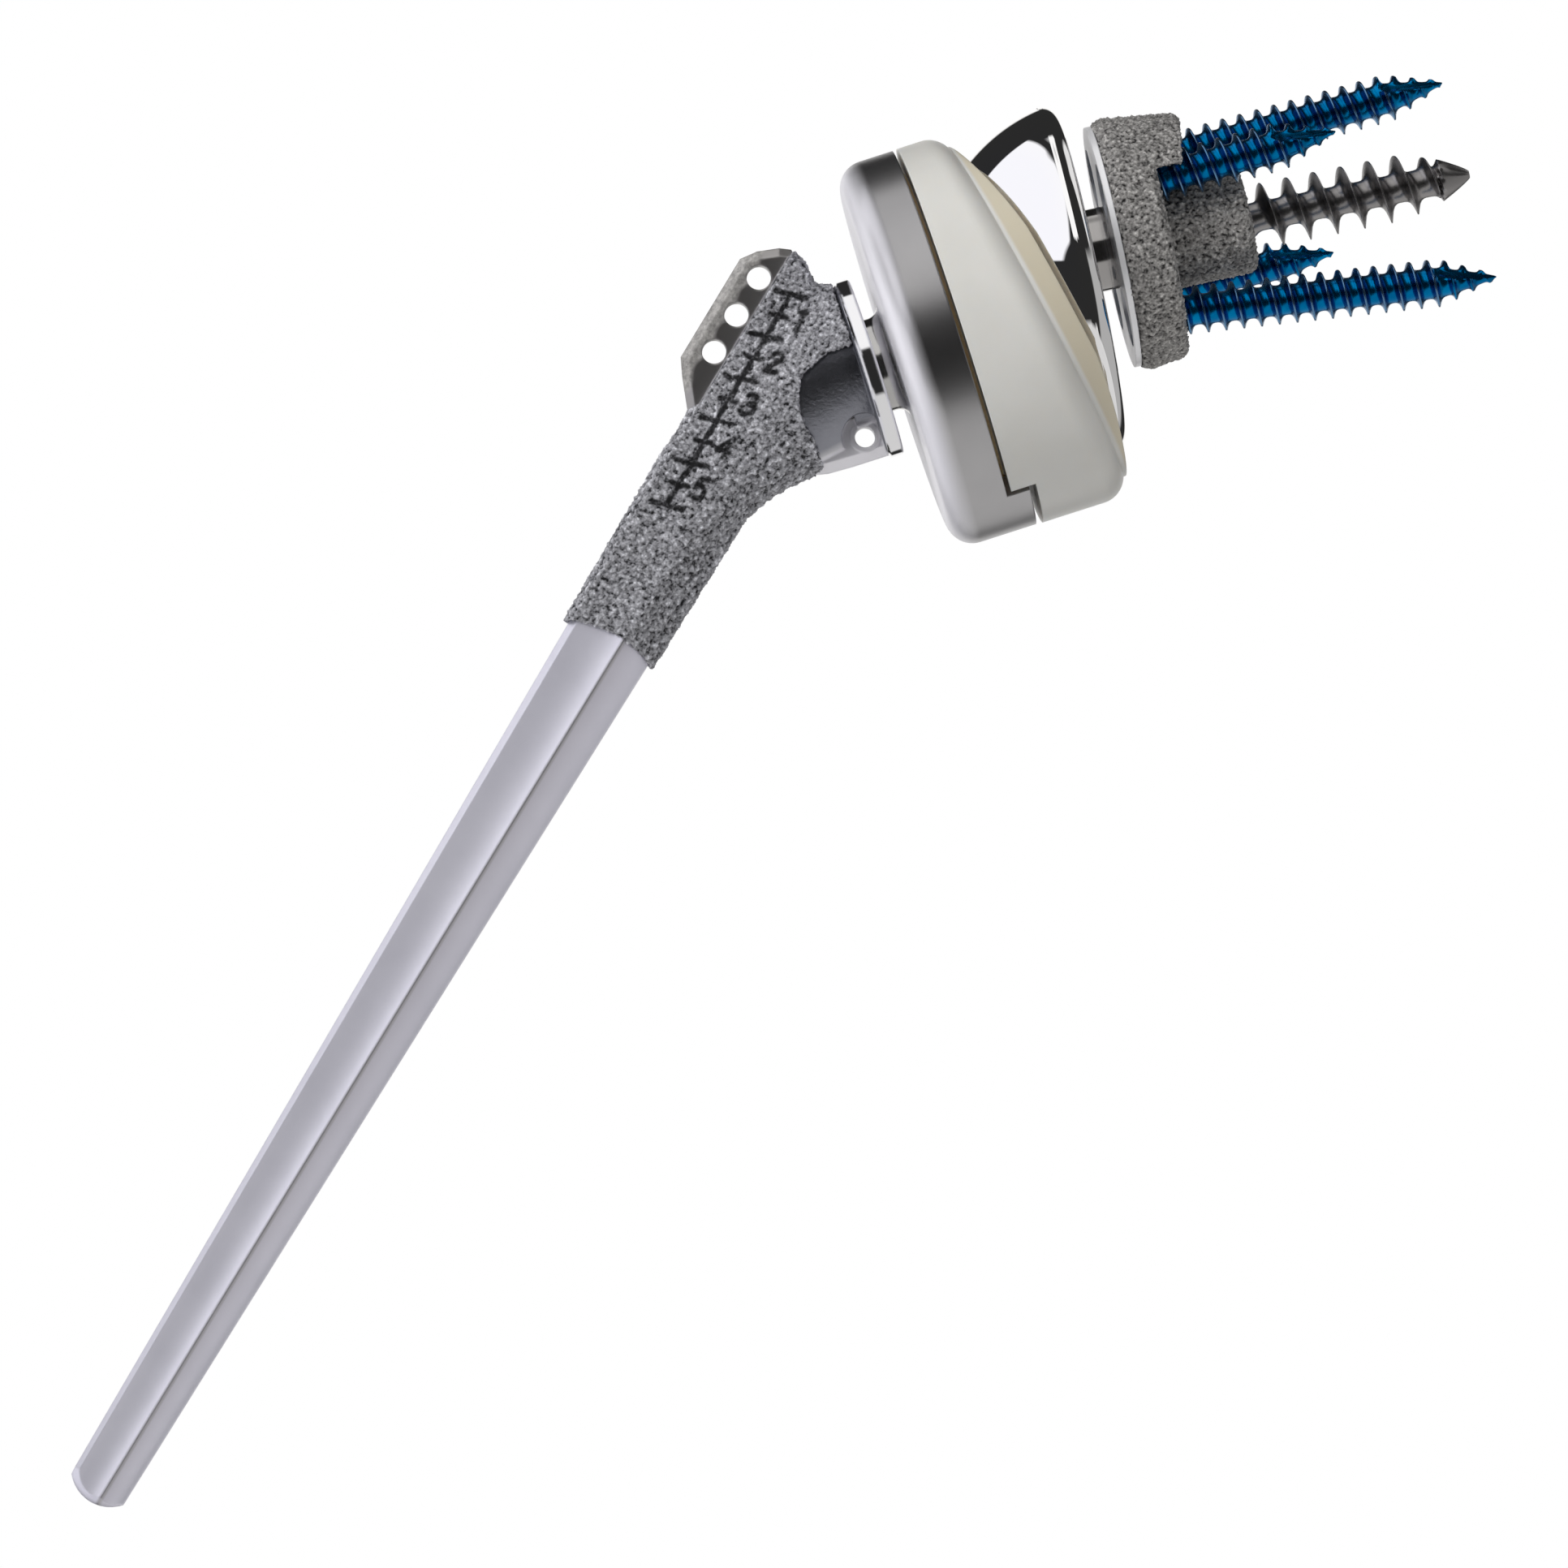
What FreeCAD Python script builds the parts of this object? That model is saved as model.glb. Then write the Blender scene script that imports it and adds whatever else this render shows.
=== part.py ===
import FreeCAD
import Part
import Sketcher
import math
import os
from types import SimpleNamespace

# Reverse shoulder prosthesis. Millimetres and degrees.
# The stem's axis is Z, pointing at the shoulder. X points to the body's middle, -Y at the viewer.
# The origin is where the stem's axis crosses the axis of the neck.

SIZES = {
    # Stem: a tapered shaft of eight flats with a domed tip
    "neck_angle": 41.0,
    "tip_depth": 126.2,
    "tip_dome": 3.9,
    "shaft_tip_half": 2.95,
    "shaft_top_half": 4.65,
    "shaft_top_depth": 8.0,
    "coat_thickness": 0.6,
    "coat_end_depth": 26.4,
    "coat_arch_radius": 10.2,
    "coat_arch_centre": 0.4,
    # Proximal body: outer sizes of its coat, at three slanting sections and at the neck's end
    "low_lateral": -5.1,
    "low_medial": 4.75,
    "low_height": -14.0,
    "low_depth": 4.9,
    "mid_lateral": -5.2,
    "mid_lateral_height": -4.0,
    "mid_medial": 6.4,
    "mid_medial_height": -6.7,
    "mid_depth": 5.4,
    "high_lateral": -5.0,
    "high_lateral_height": 5.0,
    "high_medial": 8.6,
    "high_medial_height": -3.1,
    "high_depth": 6.2,
    "neck_end": 11.2,
    "neck_centre_offset": 1.2,
    "neck_half_height": 7.8,
    "neck_depth": 6.9,
    "shoulder_depth": 4.4,
    "shoulder_top": 14.8,
    "shoulder_width": 4.4,
    "shoulder_round": 1.2,
    # Collar at the mouth of the neck
    "collar_radius": 9.05,
    "collar_face": 12.76,
    "collar_bevel": 0.4,
    # Lateral fin with three suture holes
    "fin_reach": 8.55,
    "fin_top": 15.1,
    "fin_thickness": 2.8,
    "fin_bevel": 0.8,
    "suture_radius": 1.2,
    "suture_offset": 6.0,
    "suture_first": 2.55,
    "suture_pitch": 4.25,
    # Medial rib with its eyelet
    "rib_thickness": 3.2,
    "rib_edge": 8.75,
    "rib_bevel": 1.0,
    "eyelet_radius": 1.0,
    "eyelet_along": 9.55,
    "eyelet_across": 6.4,
    "eyelet_relief": 2.3,
    "ear_radius": 1.5,
    "ear_thickness": 3.5,
    # Tray, with a taper pin that seats in the neck
    "taper_end": 3.0,
    "taper_end_radius": 4.25,
    "taper_mouth_radius": 4.72,
    "taper_relief": 0.6,
    "taper_clearance": 0.02,
    "tray_back": 14.6,
    "tray_rim": 20.7,
    "tray_radius": 19.65,
    "tray_round": 2.7,
    "tray_wall": 2.4,
    "tray_floor": 17.0,
    "tray_flare": 1.2,
    "tab_height": 2.3,
    "tab_half_angle": 32.7,
    # Locking ring, split, in facing grooves
    "groove_start": 18.6,
    "groove_width": 1.0,
    "groove_depth": 0.7,
    "ring_clearance": 0.1,
    "ring_split": 12.0,
    # Liner with a slanting face and a spherical cup
    "liner_overhang": 0.05,
    "liner_round": 2.6,
    "rim_gap": 0.5,
    "seat_gap": 0.05,
    "notch_gap": 0.7,
    "wedge_angle": 10.7,
    "cup_reach": 37.2,
    "cup_offset": 1.72,
    "cup_clearance": 0.06,
    "face_depth": 7.85,
    "lip_radius": 18.4,
    "lip_top_radius": 17.95,
    "lip_height": 2.1,
    "lip_curve": 66.0,
    # Head
    "head_radius": 17.6,
    "head_base": 1.6,
    "head_round": 1.6,
    "glenoid_angle": 46.6,
    # Adaptor between the head and the baseplate, with an eccentric stub
    "socket_radius": 7.25,
    "socket_depth": 8.3,
    "socket_clearance": 0.05,
    "adaptor_depth": 8.1,
    "adaptor_edge": 0.5,
    "eccentricity": 2.45,
    "stub_radius": 4.14,
    "stub_tip_radius": 3.85,
    "stub_depth": 4.6,
    # Baseplate
    "plate_front": 0.8,
    "plate_front_radius": 12.05,
    "plate_edge_radius": 12.2,
    "plate_radius": 12.6,
    "plate_back_radius": 12.1,
    "plate_lip": 0.6,
    "plate_thickness": 5.5,
    "plate_round": 1.0,
    "augment_start": 5.95,
    "augment_low": 8.1,
    "augment_high": 9.3,
    "boss_radius": 5.4,
    "boss_end": 14.0,
    "plate_coat": 0.6,
    # Screws
    "hole_circle": 8.4,
    "hole_turn": 30.0,
    "side_hole_turn": 35.5,
    "screw_radius": 2.375,
    "screw_clearance": 0.14,
    "screw_head_radius": 2.9,
    "screw_head_height": 2.8,
    "screw_head_sink": 0.6,
    "screw_tip_length": 6.0,
    "screw_tip_radius": 0.45,
    "screw_drive": 1.5,
    "screw_drive_depth": 1.6,
    "superior_length": 35.4,
    "superior_lean": -3.1,
    "inferior_length": 35.8,
    "inferior_lean": 6.0,
    "anterior_length": 23.0,
    "anterior_lean": -2.7,
    "posterior_length": 21.5,
    "posterior_lean": -0.3,
    "central_head_radius": 3.7,
    "central_head_height": 2.6,
    "central_seat": 8.0,
    "central_shank": 3.0,
    "central_crest": 3.25,
    "central_tip": 36.2,
    "central_tip_length": 5.0,
    "central_lean": 0.9,
    "central_drive": 1.8,
}


class Size:
    """A number of the sheet, or one worked out from them, with the formula that gives it."""

    def __init__(self, text, value):
        self.text = text
        self.value = value

    @staticmethod
    def of(other):
        if isinstance(other, Size):
            return other
        return Size(repr(float(other)), float(other))

    def __add__(self, other):
        other = Size.of(other)
        return Size(f"({self.text} + {other.text})", self.value + other.value)

    def __sub__(self, other):
        other = Size.of(other)
        return Size(f"({self.text} - {other.text})", self.value - other.value)

    def __mul__(self, other):
        other = Size.of(other)
        return Size(f"({self.text} * {other.text})", self.value * other.value)

    def __truediv__(self, other):
        other = Size.of(other)
        return Size(f"({self.text} / {other.text})", self.value / other.value)

    def __radd__(self, other):
        return Size.of(other) + self

    def __rsub__(self, other):
        return Size.of(other) - self

    def __rmul__(self, other):
        return Size.of(other) * self

    def __neg__(self):
        return Size(f"(0 - {self.text})", -self.value)


def sine(angle):
    angle = Size.of(angle)
    return Size(f"sin({angle.text})", math.sin(math.radians(angle.value)))


def cosine(angle):
    angle = Size.of(angle)
    return Size(f"cos({angle.text})", math.cos(math.radians(angle.value)))


def tangent(angle):
    angle = Size.of(angle)
    return Size(f"tan({angle.text})", math.tan(math.radians(angle.value)))


def arc_tangent(ratio):
    return Size(f"atan({ratio.text})", math.degrees(math.atan(ratio.value)))


def root(square):
    return Size(f"sqrt({square.text})", math.sqrt(square.value))


doc = FreeCAD.newDocument("reverse_shoulder")
sheet = doc.addObject("Spreadsheet::Sheet", "dims")
for row, (alias, number) in enumerate(SIZES.items(), start=1):
    sheet.set(f"A{row}", alias)
    sheet.set(f"B{row}", str(number))
    sheet.setAlias(f"B{row}", alias)
doc.recompute()
size = SimpleNamespace(**{name: Size(f"dims.{name}", number) for name, number in SIZES.items()})
NONE = Size.of(0.0)
FAR = Size.of(40.0)


def frame(angle, x=NONE, y=NONE, z=NONE):
    """The formula of a placement turned about Y and moved to x, y, z."""
    return (f"placement(vector({Size.of(x).text}; {Size.of(y).text}; {Size.of(z).text}); "
            f"rotation(vector(0; 1; 0); {Size.of(angle).text}))")


def shifted(base, angle, across, along):
    """The point that lies across and along from base, in axes turned by angle about Y."""
    x = base[0] + across * cosine(angle) + along * sine(angle)
    z = base[1] - across * sine(angle) + along * cosine(angle)
    return x, z


def origin_plane(body, role):
    return next(item for item in body.Origin.OriginFeatures if item.Role == role)


def new_body(name, placement=None):
    body = doc.addObject("PartDesign::Body", name)
    if placement:
        body.setExpression("Placement", placement)
    return body


def new_sketch(body, name, role="XZ_Plane", x=NONE, y=NONE, lift=NONE, turn=NONE):
    """A sketch on one of the body's own planes, with its axes moved and turned in that plane."""
    sketch = body.newObject("Sketcher::SketchObject", name)
    sketch.AttachmentSupport = [(origin_plane(body, role), "")]
    sketch.MapMode = "FlatFace"
    sketch.setExpression("AttachmentOffset",
                         f"placement(vector({x.text}; {y.text}; {lift.text}); "
                         f"rotation(vector(0; 0; 1); {turn.text}))")
    return sketch


def hold(sketch, kind, segment, end, distance):
    """One named dimension from the sketch's origin to a point."""
    index = sketch.addConstraint(Sketcher.Constraint(kind, -1, 1, segment, end, distance.value))
    sketch.setExpression(f"Constraints[{index}]", distance.text)


def draw(sketch, corners, arcs=None, loose=None):
    """A closed outline. arcs maps a segment to its centre and turn; loose names the coordinate
    of a corner that an arc decides."""
    arcs = arcs or {}
    loose = loose or {}
    corners = [(Size.of(x), Size.of(y)) for x, y in corners]
    spots = [FreeCAD.Vector(x.value, y.value, 0) for x, y in corners]
    ends = []
    for index, start in enumerate(spots):
        end = spots[(index + 1) % len(spots)]
        if index not in arcs:
            sketch.addGeometry(Part.LineSegment(start, end), False)
            ends.append((1, 2))
            continue
        centre_x, centre_y, turn = arcs[index]
        centre = FreeCAD.Vector(Size.of(centre_x).value, Size.of(centre_y).value, 0)
        circle = Part.Circle(centre, FreeCAD.Vector(0, 0, 1), (start - centre).Length)
        first = math.atan2(start.y - centre.y, start.x - centre.x)
        last = math.atan2(end.y - centre.y, end.x - centre.x)
        if turn > 0:
            sketch.addGeometry(Part.ArcOfCircle(circle, first, last), False)
            ends.append((1, 2))
        else:
            sketch.addGeometry(Part.ArcOfCircle(circle, last, first), False)
            ends.append((2, 1))
        hold(sketch, "DistanceX", index, 3, Size.of(centre_x))
        hold(sketch, "DistanceY", index, 3, Size.of(centre_y))
    for index in range(len(spots)):
        following = (index + 1) % len(spots)
        sketch.addConstraint(Sketcher.Constraint("Coincident", index, ends[index][1],
                                                 following, ends[following][0]))
    for index, (x, y) in enumerate(corners):
        if loose.get(index) != "x":
            hold(sketch, "DistanceX", index, ends[index][0], x)
        if loose.get(index) != "y":
            hold(sketch, "DistanceY", index, ends[index][0], y)
    return sketch


def turn_solid(body, sketch, name, cut=False):
    """Revolves a sketch about its own vertical axis."""
    feature = body.newObject("PartDesign::Groove" if cut else "PartDesign::Revolution", name)
    feature.Profile = sketch
    feature.ReferenceAxis = (sketch, ["V_Axis"])
    feature.Angle = 360.0
    return feature


def pad(body, sketch, name, length, both=True, cut=False, back=False):
    feature = body.newObject("PartDesign::Pocket" if cut else "PartDesign::Pad", name)
    feature.Profile = sketch
    feature.setExpression("Length", length.text)
    feature.SideType = "Symmetric" if both else "One side"
    feature.Reversed = back
    return feature


def soften(body, feature, name, radius, wanted, bevel=False):
    """Rounds or bevels the edges of a feature that the test picks out."""
    doc.recompute()
    names = [f"Edge{number}" for number, edge in enumerate(feature.Shape.Edges, start=1)
             if wanted(edge)]
    if not names:
        raise RuntimeError(f"{name} found no edge")
    finish = body.newObject("PartDesign::Chamfer" if bevel else "PartDesign::Fillet", name)
    finish.Base = (feature, names)
    finish.setExpression("Size" if bevel else "Radius", radius.text)
    body.Tip = finish
    doc.recompute()
    return finish


def cylinder(name, radius, height, placement, top_radius=None):
    """A cylinder, or a cone if it has another radius at its top."""
    kind = "Part::Cone" if top_radius else "Part::Cylinder"
    rod = doc.addObject(kind, name)
    rod.setExpression("Radius1" if top_radius else "Radius", radius.text)
    if top_radius:
        rod.setExpression("Radius2", top_radius.text)
    rod.setExpression("Height", height.text)
    rod.setExpression("Placement", placement)
    return rod


def across_y(name, radius, x, z, start, length):
    """A rod along +Y from start."""
    rod = doc.addObject("Part::Cylinder", name)
    rod.setExpression("Radius", radius.text)
    rod.setExpression("Height", length.text)
    rod.setExpression("Placement", f"placement(vector({x.text}; {start.text}; {z.text}); "
                                   "rotation(vector(1; 0; 0); 0 - 90))")
    return rod


def join(name, *pieces):
    union = doc.addObject("Part::MultiFuse", name)
    union.Shapes = list(pieces)
    union.Refine = False
    return union


def cut_from(name, base, tool):
    result = doc.addObject("Part::Cut", name)
    result.Base = base
    result.Tool = tool
    return result


def common_of(name, base, tool):
    result = doc.addObject("Part::Common", name)
    result.Base = base
    result.Tool = tool
    return result


# Shares of the shaft's half-width at which its flats meet: the lateral flat, the near face, the crease
LATERAL_FLAT = 0.70
NEAR_EDGE = 0.84
NEAR_FACE = 0.90
CREASE = 0.28
MEDIAL_FLAT = 0.36
FLUTE = 0.04


def shaft_section(half, grow):
    """The eight corners of the shaft's section, widened all round by grow, and the arcs of the
    shallow flutes in its near and far faces."""
    half = half + grow
    side = [(-half, half * LATERAL_FLAT), (-half * NEAR_EDGE, half * NEAR_FACE),
            (half * CREASE, half * NEAR_FACE), (half, half * MEDIAL_FLAT)]
    reach = (CREASE + NEAR_EDGE) / 2
    radius = (reach * reach + FLUTE * FLUTE) / (2 * FLUTE)
    middle = half * (CREASE - reach)
    centre = half * (NEAR_FACE + radius - FLUTE)
    arcs = {1: (middle, centre, 1), 5: (middle, -centre, 1)}
    return side + [(x, -y) for x, y in reversed(side)], arcs


def shaft(name, low, high, grow):
    """The shaft between two depths below the origin."""
    body = new_body(name)
    slope = (size.shaft_top_half - size.shaft_tip_half) / (size.tip_depth - size.shaft_top_depth)
    sections = []
    for label, depth in (("low", low), ("high", high)):
        half = size.shaft_tip_half + (size.tip_depth - depth) * slope
        sketch = new_sketch(body, f"{name}_{label}", "XY_Plane", lift=-depth)
        corners, flutes = shaft_section(half, grow)
        sections.append(draw(sketch, corners, arcs=flutes, loose={2: "y", 6: "y"}))
    loft = body.newObject("PartDesign::AdditiveLoft", f"{name}_loft")
    loft.Profile = sections[0]
    loft.Sections = [sections[1]]
    loft.Ruled = True
    body.Tip = loft
    return body


def neck_point(across, along):
    """A point of the neck's own axes in the row's X and Z."""
    return shifted((NONE, NONE), size.neck_angle, across, along)


def slanting_section(name, lateral, medial, depth, shrink):
    """An ellipse whose long axis joins a lateral and a medial point."""
    width = medial[0] - lateral[0]
    drop = lateral[1] - medial[1]
    ellipse = doc.addObject("Part::Ellipse", name)
    ellipse.setExpression("MajorRadius", (root(width * width + drop * drop) / 2 - shrink).text)
    ellipse.setExpression("MinorRadius", (depth - shrink).text)
    ellipse.setExpression("Placement", frame(arc_tangent(drop / width), (lateral[0] + medial[0]) / 2,
                                             NONE, (lateral[1] + medial[1]) / 2))
    return ellipse


def proximal_body(name, shrink):
    """The flared body from the shaft to the neck, smaller all round by shrink."""
    sections = [
        slanting_section(f"{name}_low", (size.low_lateral, size.low_height),
                         (size.low_medial, size.low_height), size.low_depth, shrink),
        slanting_section(f"{name}_mid", (size.mid_lateral, size.mid_lateral_height),
                         (size.mid_medial, size.mid_medial_height), size.mid_depth, shrink),
        slanting_section(f"{name}_high", (size.high_lateral, size.high_lateral_height),
                         (size.high_medial, size.high_medial_height), size.high_depth, shrink),
    ]
    x, z = neck_point(-size.neck_centre_offset, size.neck_end)
    end = doc.addObject("Part::Ellipse", f"{name}_end")
    end.setExpression("MajorRadius", (size.neck_half_height - shrink).text)
    end.setExpression("MinorRadius", (size.neck_depth - shrink).text)
    end.setExpression("Placement", frame(size.neck_angle, x, NONE, z))
    loft = doc.addObject("Part::Loft", name)
    loft.Sections = sections + [end]
    loft.Solid = True
    loft.Ruled = False
    return loft


def shoulder(name, shrink):
    """The lateral shoulder that the fin springs from."""
    body = new_body(name)
    left = size.low_lateral + shrink
    corner_x, corner_z = neck_point(-(size.collar_radius - shrink), size.neck_end)
    top = size.shoulder_top - shrink
    sketch = draw(new_sketch(body, f"{name}_outline"), [
        (left, size.low_height), (size.shoulder_width - 2, size.low_height),
        (size.shoulder_width, NONE), (corner_x + 1.5, corner_z - 1.5), (corner_x, corner_z - 0.5),
        (corner_x - 1.5, corner_z - 1.0), (corner_x - 3.4, top - 0.1), (left, top + 0.3)])
    slab = pad(body, sketch, f"{name}_pad", (size.shoulder_depth - shrink) * 2)
    body.Tip = slab

    def is_face_edge(edge):
        box = edge.BoundBox
        return box.YLength < 0.01 and box.XMax < corner_x.value + 0.1 and box.ZMax > -10

    soften(body, slab, f"{name}_edges", size.shoulder_round, is_face_edge)
    return body


def fin():
    """The thin lateral fin with its bevelled border."""
    body = new_body("fin")
    reach = -size.fin_reach
    inner = size.low_lateral + 2
    sketch = draw(new_sketch(body, "fin_outline"), [
        (inner, -5.3), (inner - 2.2, -3.7), (reach + 1.15, -1.2), (reach, 0.4),
        (reach, size.fin_top - 3.4), (reach + 1.05, size.fin_top - 1.9),
        (reach + 2.75, size.fin_top - 0.5), (reach + 3.85, size.fin_top), (inner, size.fin_top - 1.0)])
    plate = pad(body, sketch, "fin_pad", size.fin_thickness)
    body.Tip = plate

    def is_border(edge):
        box = edge.BoundBox
        return box.YLength < 0.01 and box.XMax < inner.value - 0.1

    soften(body, plate, "fin_border", size.fin_bevel, is_border, bevel=True)
    return body


def rib():
    """The flat-sided rib along the underside of the neck, with its lower edges bevelled."""
    body = new_body("rib", frame(size.neck_angle))
    inner = size.neck_half_height - size.neck_centre_offset - 4
    sketch = draw(new_sketch(body, "rib_outline"), [
        (inner, 1.5), (size.rib_edge - 0.9, 1.5), (size.rib_edge - 0.1, 5.0), (size.rib_edge, 7.5),
        (size.rib_edge, size.neck_end + 0.3), (inner, size.neck_end + 0.3)])
    plate = pad(body, sketch, "rib_pad", size.rib_thickness)
    body.Tip = plate

    def is_lower_edge(edge):
        box = edge.BoundBox
        return box.YLength < 0.01 and box.XMin > size.rib_edge.value - 1.0

    soften(body, plate, "rib_border", size.rib_bevel, is_lower_edge, bevel=True)
    return body


def collar():
    """The polished ring at the mouth, with a bevel towards the neck."""
    body = new_body("collar", frame(size.neck_angle))
    back = size.neck_end - 0.1
    sketch = draw(new_sketch(body, "collar_outline"), [
        (NONE, back - 2.0), (size.neck_half_height - size.neck_centre_offset - 1.0, back - 2.0),
        (size.neck_half_height - size.neck_centre_offset - 1.0, back),
        (size.collar_radius - size.collar_bevel, back),
        (size.collar_radius, back + size.collar_bevel),
        (size.collar_radius, size.collar_face - 0.15), (size.collar_radius - 0.15, size.collar_face),
        (NONE, size.collar_face)])
    body.Tip = turn_solid(body, sketch, "collar_turn")
    return body


def neck_rod(name, across, along, radius, start, length):
    """A rod along Y at a point of the neck's axes."""
    x, z = neck_point(across, along)
    return across_y(name, radius, x, z, start, length)


def stem():
    """One casting: shaft, proximal body, fin, rib and collar, bored for the tray's taper."""
    shaft_body = shaft("shaft", size.tip_depth, size.shaft_top_depth, NONE)
    dome = size.tip_dome - size.tip_depth
    sketch = draw(new_sketch(shaft_body, "tip_outline"), [
        (NONE, -size.tip_depth), (size.tip_dome, dome), (size.tip_dome + 4, dome),
        (size.tip_dome + 4, -size.tip_depth - 1), (NONE, -size.tip_depth - 1)],
        arcs={0: (NONE, dome, 1)}, loose={1: "x"})
    shaft_body.Tip = turn_solid(shaft_body, sketch, "tip_turn", cut=True)
    half_rib = size.rib_thickness / 2
    reliefs = [neck_rod(name, size.eyelet_across, size.eyelet_along, size.eyelet_relief, start, FAR)
               for name, start in (("relief_near", -(half_rib + FAR)), ("relief_far", half_rib))]
    neck = cut_from("neck_relieved", proximal_body("neck_core", size.coat_thickness),
                    join("neck_reliefs", *reliefs))
    ear = neck_rod("ear", size.eyelet_across, size.eyelet_along, size.ear_radius,
                   -size.ear_thickness / 2, size.ear_thickness)
    solid = join("stem_solid", shaft_body, neck, shoulder("shoulder_core", size.coat_thickness), fin(),
                 rib(), ear, collar())
    half_fin = size.fin_thickness / 2 + 2
    holes = [across_y(f"suture_{number + 1}", size.suture_radius, -size.suture_offset,
                      size.suture_first + size.suture_pitch * number, -half_fin, half_fin * 2)
             for number in range(3)]
    holes.append(neck_rod("eyelet", size.eyelet_across, size.eyelet_along, size.eyelet_radius,
                          -FAR, FAR * 2))
    x, z = neck_point(NONE, size.taper_end - size.taper_relief)
    holes.append(cylinder("taper_relief", size.taper_end_radius + size.taper_clearance,
                          size.taper_relief, frame(size.neck_angle, x, NONE, z)))
    x, z = neck_point(NONE, size.taper_end)
    holes.append(cylinder("taper_bore", size.taper_end_radius + size.taper_clearance,
                          size.collar_face - size.taper_end, frame(size.neck_angle, x, NONE, z),
                          size.taper_mouth_radius + size.taper_clearance))
    return cut_from("stem", solid, join("stem_holes", *holes)), solid


def coating(core):
    """The sprayed coat round the proximal body, open round the fin, the rib and the collar."""
    sleeve = shaft("sleeve", size.coat_end_depth + 2.2, size.shaft_top_depth, size.coat_thickness)
    outer = join("coat_outer", sleeve, proximal_body("neck_coat", NONE), shoulder("shoulder_coat", NONE))
    arch = across_y("coat_arch", size.coat_arch_radius, size.coat_arch_centre,
                    -(size.coat_end_depth + size.coat_arch_radius), -FAR, FAR * 2)
    bare = new_body("bare_neck", frame(size.neck_angle))
    patch = draw(new_sketch(bare, "bare_neck_outline"), [
        (-20.0, 11.05), (-2.3, 11.05), (-2.3, 8.4), (-1.0, 5.4), (1.4, 4.3), (3.8, 4.3),
        (5.6, 4.8), (20.0, 4.8), (20.0, 20.0), (-20.0, 20.0)])
    bare.Tip = pad(bare, patch, "bare_neck_pad", FAR)
    side = new_body("bare_fin")
    edge = -size.shoulder_width
    patch = draw(new_sketch(side, "bare_fin_outline"), [
        (-12.0, -3.9), (edge - 1.0, -3.9), (edge, -2.6), (edge, 20.0), (-12.0, 20.0)])
    side.Tip = pad(side, patch, "bare_fin_pad", FAR)
    return cut_from("stem_coating", outer, join("coat_limits", core, arch, bare, side))


def sector(body, name, inner, outer, half_angle, lift, towards=1):
    """A sketch of part of a ring, centred on the inferior or the superior side."""
    low_x = cosine(half_angle) * towards
    high_y = sine(half_angle)
    sketch = new_sketch(body, name, "XY_Plane", lift=lift)
    corners = [(outer * low_x, -(outer * high_y)), (outer * low_x, outer * high_y),
               (inner * low_x, inner * high_y), (inner * low_x, -(inner * high_y))]
    turn = towards
    return draw(sketch, corners, arcs={0: (NONE, NONE, turn), 2: (NONE, NONE, -turn)},
                loose={1: "x", 3: "x"} if abs(low_x.value) > abs(high_y.value) else {1: "y", 3: "y"})


def tray():
    """The metal tray: a taper pin, a dished back and a tab that keeps the liner from turning."""
    body = new_body("tray", frame(size.neck_angle))
    bore = size.tray_radius - size.tray_wall
    groove = bore + size.groove_depth
    groove_end = size.groove_start + size.groove_width
    corner = size.tray_radius - size.tray_round
    sketch = draw(new_sketch(body, "tray_outline"), [
        (NONE, size.taper_end), (size.taper_end_radius, size.taper_end),
        (size.taper_mouth_radius, size.collar_face),
        (size.taper_mouth_radius, size.tray_back - size.tray_flare),
        (size.taper_mouth_radius + size.tray_flare, size.tray_back), (corner, size.tray_back),
        (size.tray_radius, size.tray_back + size.tray_round), (size.tray_radius, size.tray_rim),
        (bore, size.tray_rim), (bore, groove_end), (groove, groove_end), (groove, size.groove_start),
        (bore, size.groove_start), (bore, size.tray_floor), (NONE, size.tray_floor)],
        arcs={3: (size.taper_mouth_radius + size.tray_flare, size.tray_back - size.tray_flare, -1),
              5: (corner, size.tray_back + size.tray_round, 1)}, loose={4: "y", 6: "x"})
    turn_solid(body, sketch, "tray_turn")
    tab = sector(body, "tab_outline", bore, size.tray_radius, size.tab_half_angle, size.tray_rim)
    body.Tip = pad(body, tab, "tab_pad", size.tab_height, both=False)
    return body


def locking_ring():
    """The split ring that holds the liner down, half in the tray and half in the liner."""
    body = new_body("locking_ring", frame(size.neck_angle))
    bore = size.tray_radius - size.tray_wall
    slack = size.ring_clearance
    sketch = sector(body, "ring_outline", bore - size.groove_depth + slack,
                    bore + size.groove_depth - slack, 180 - size.ring_split,
                    size.groove_start + slack)
    body.Tip = pad(body, sketch, "ring_pad", size.groove_width - slack * 2, both=False)
    return body


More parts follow.
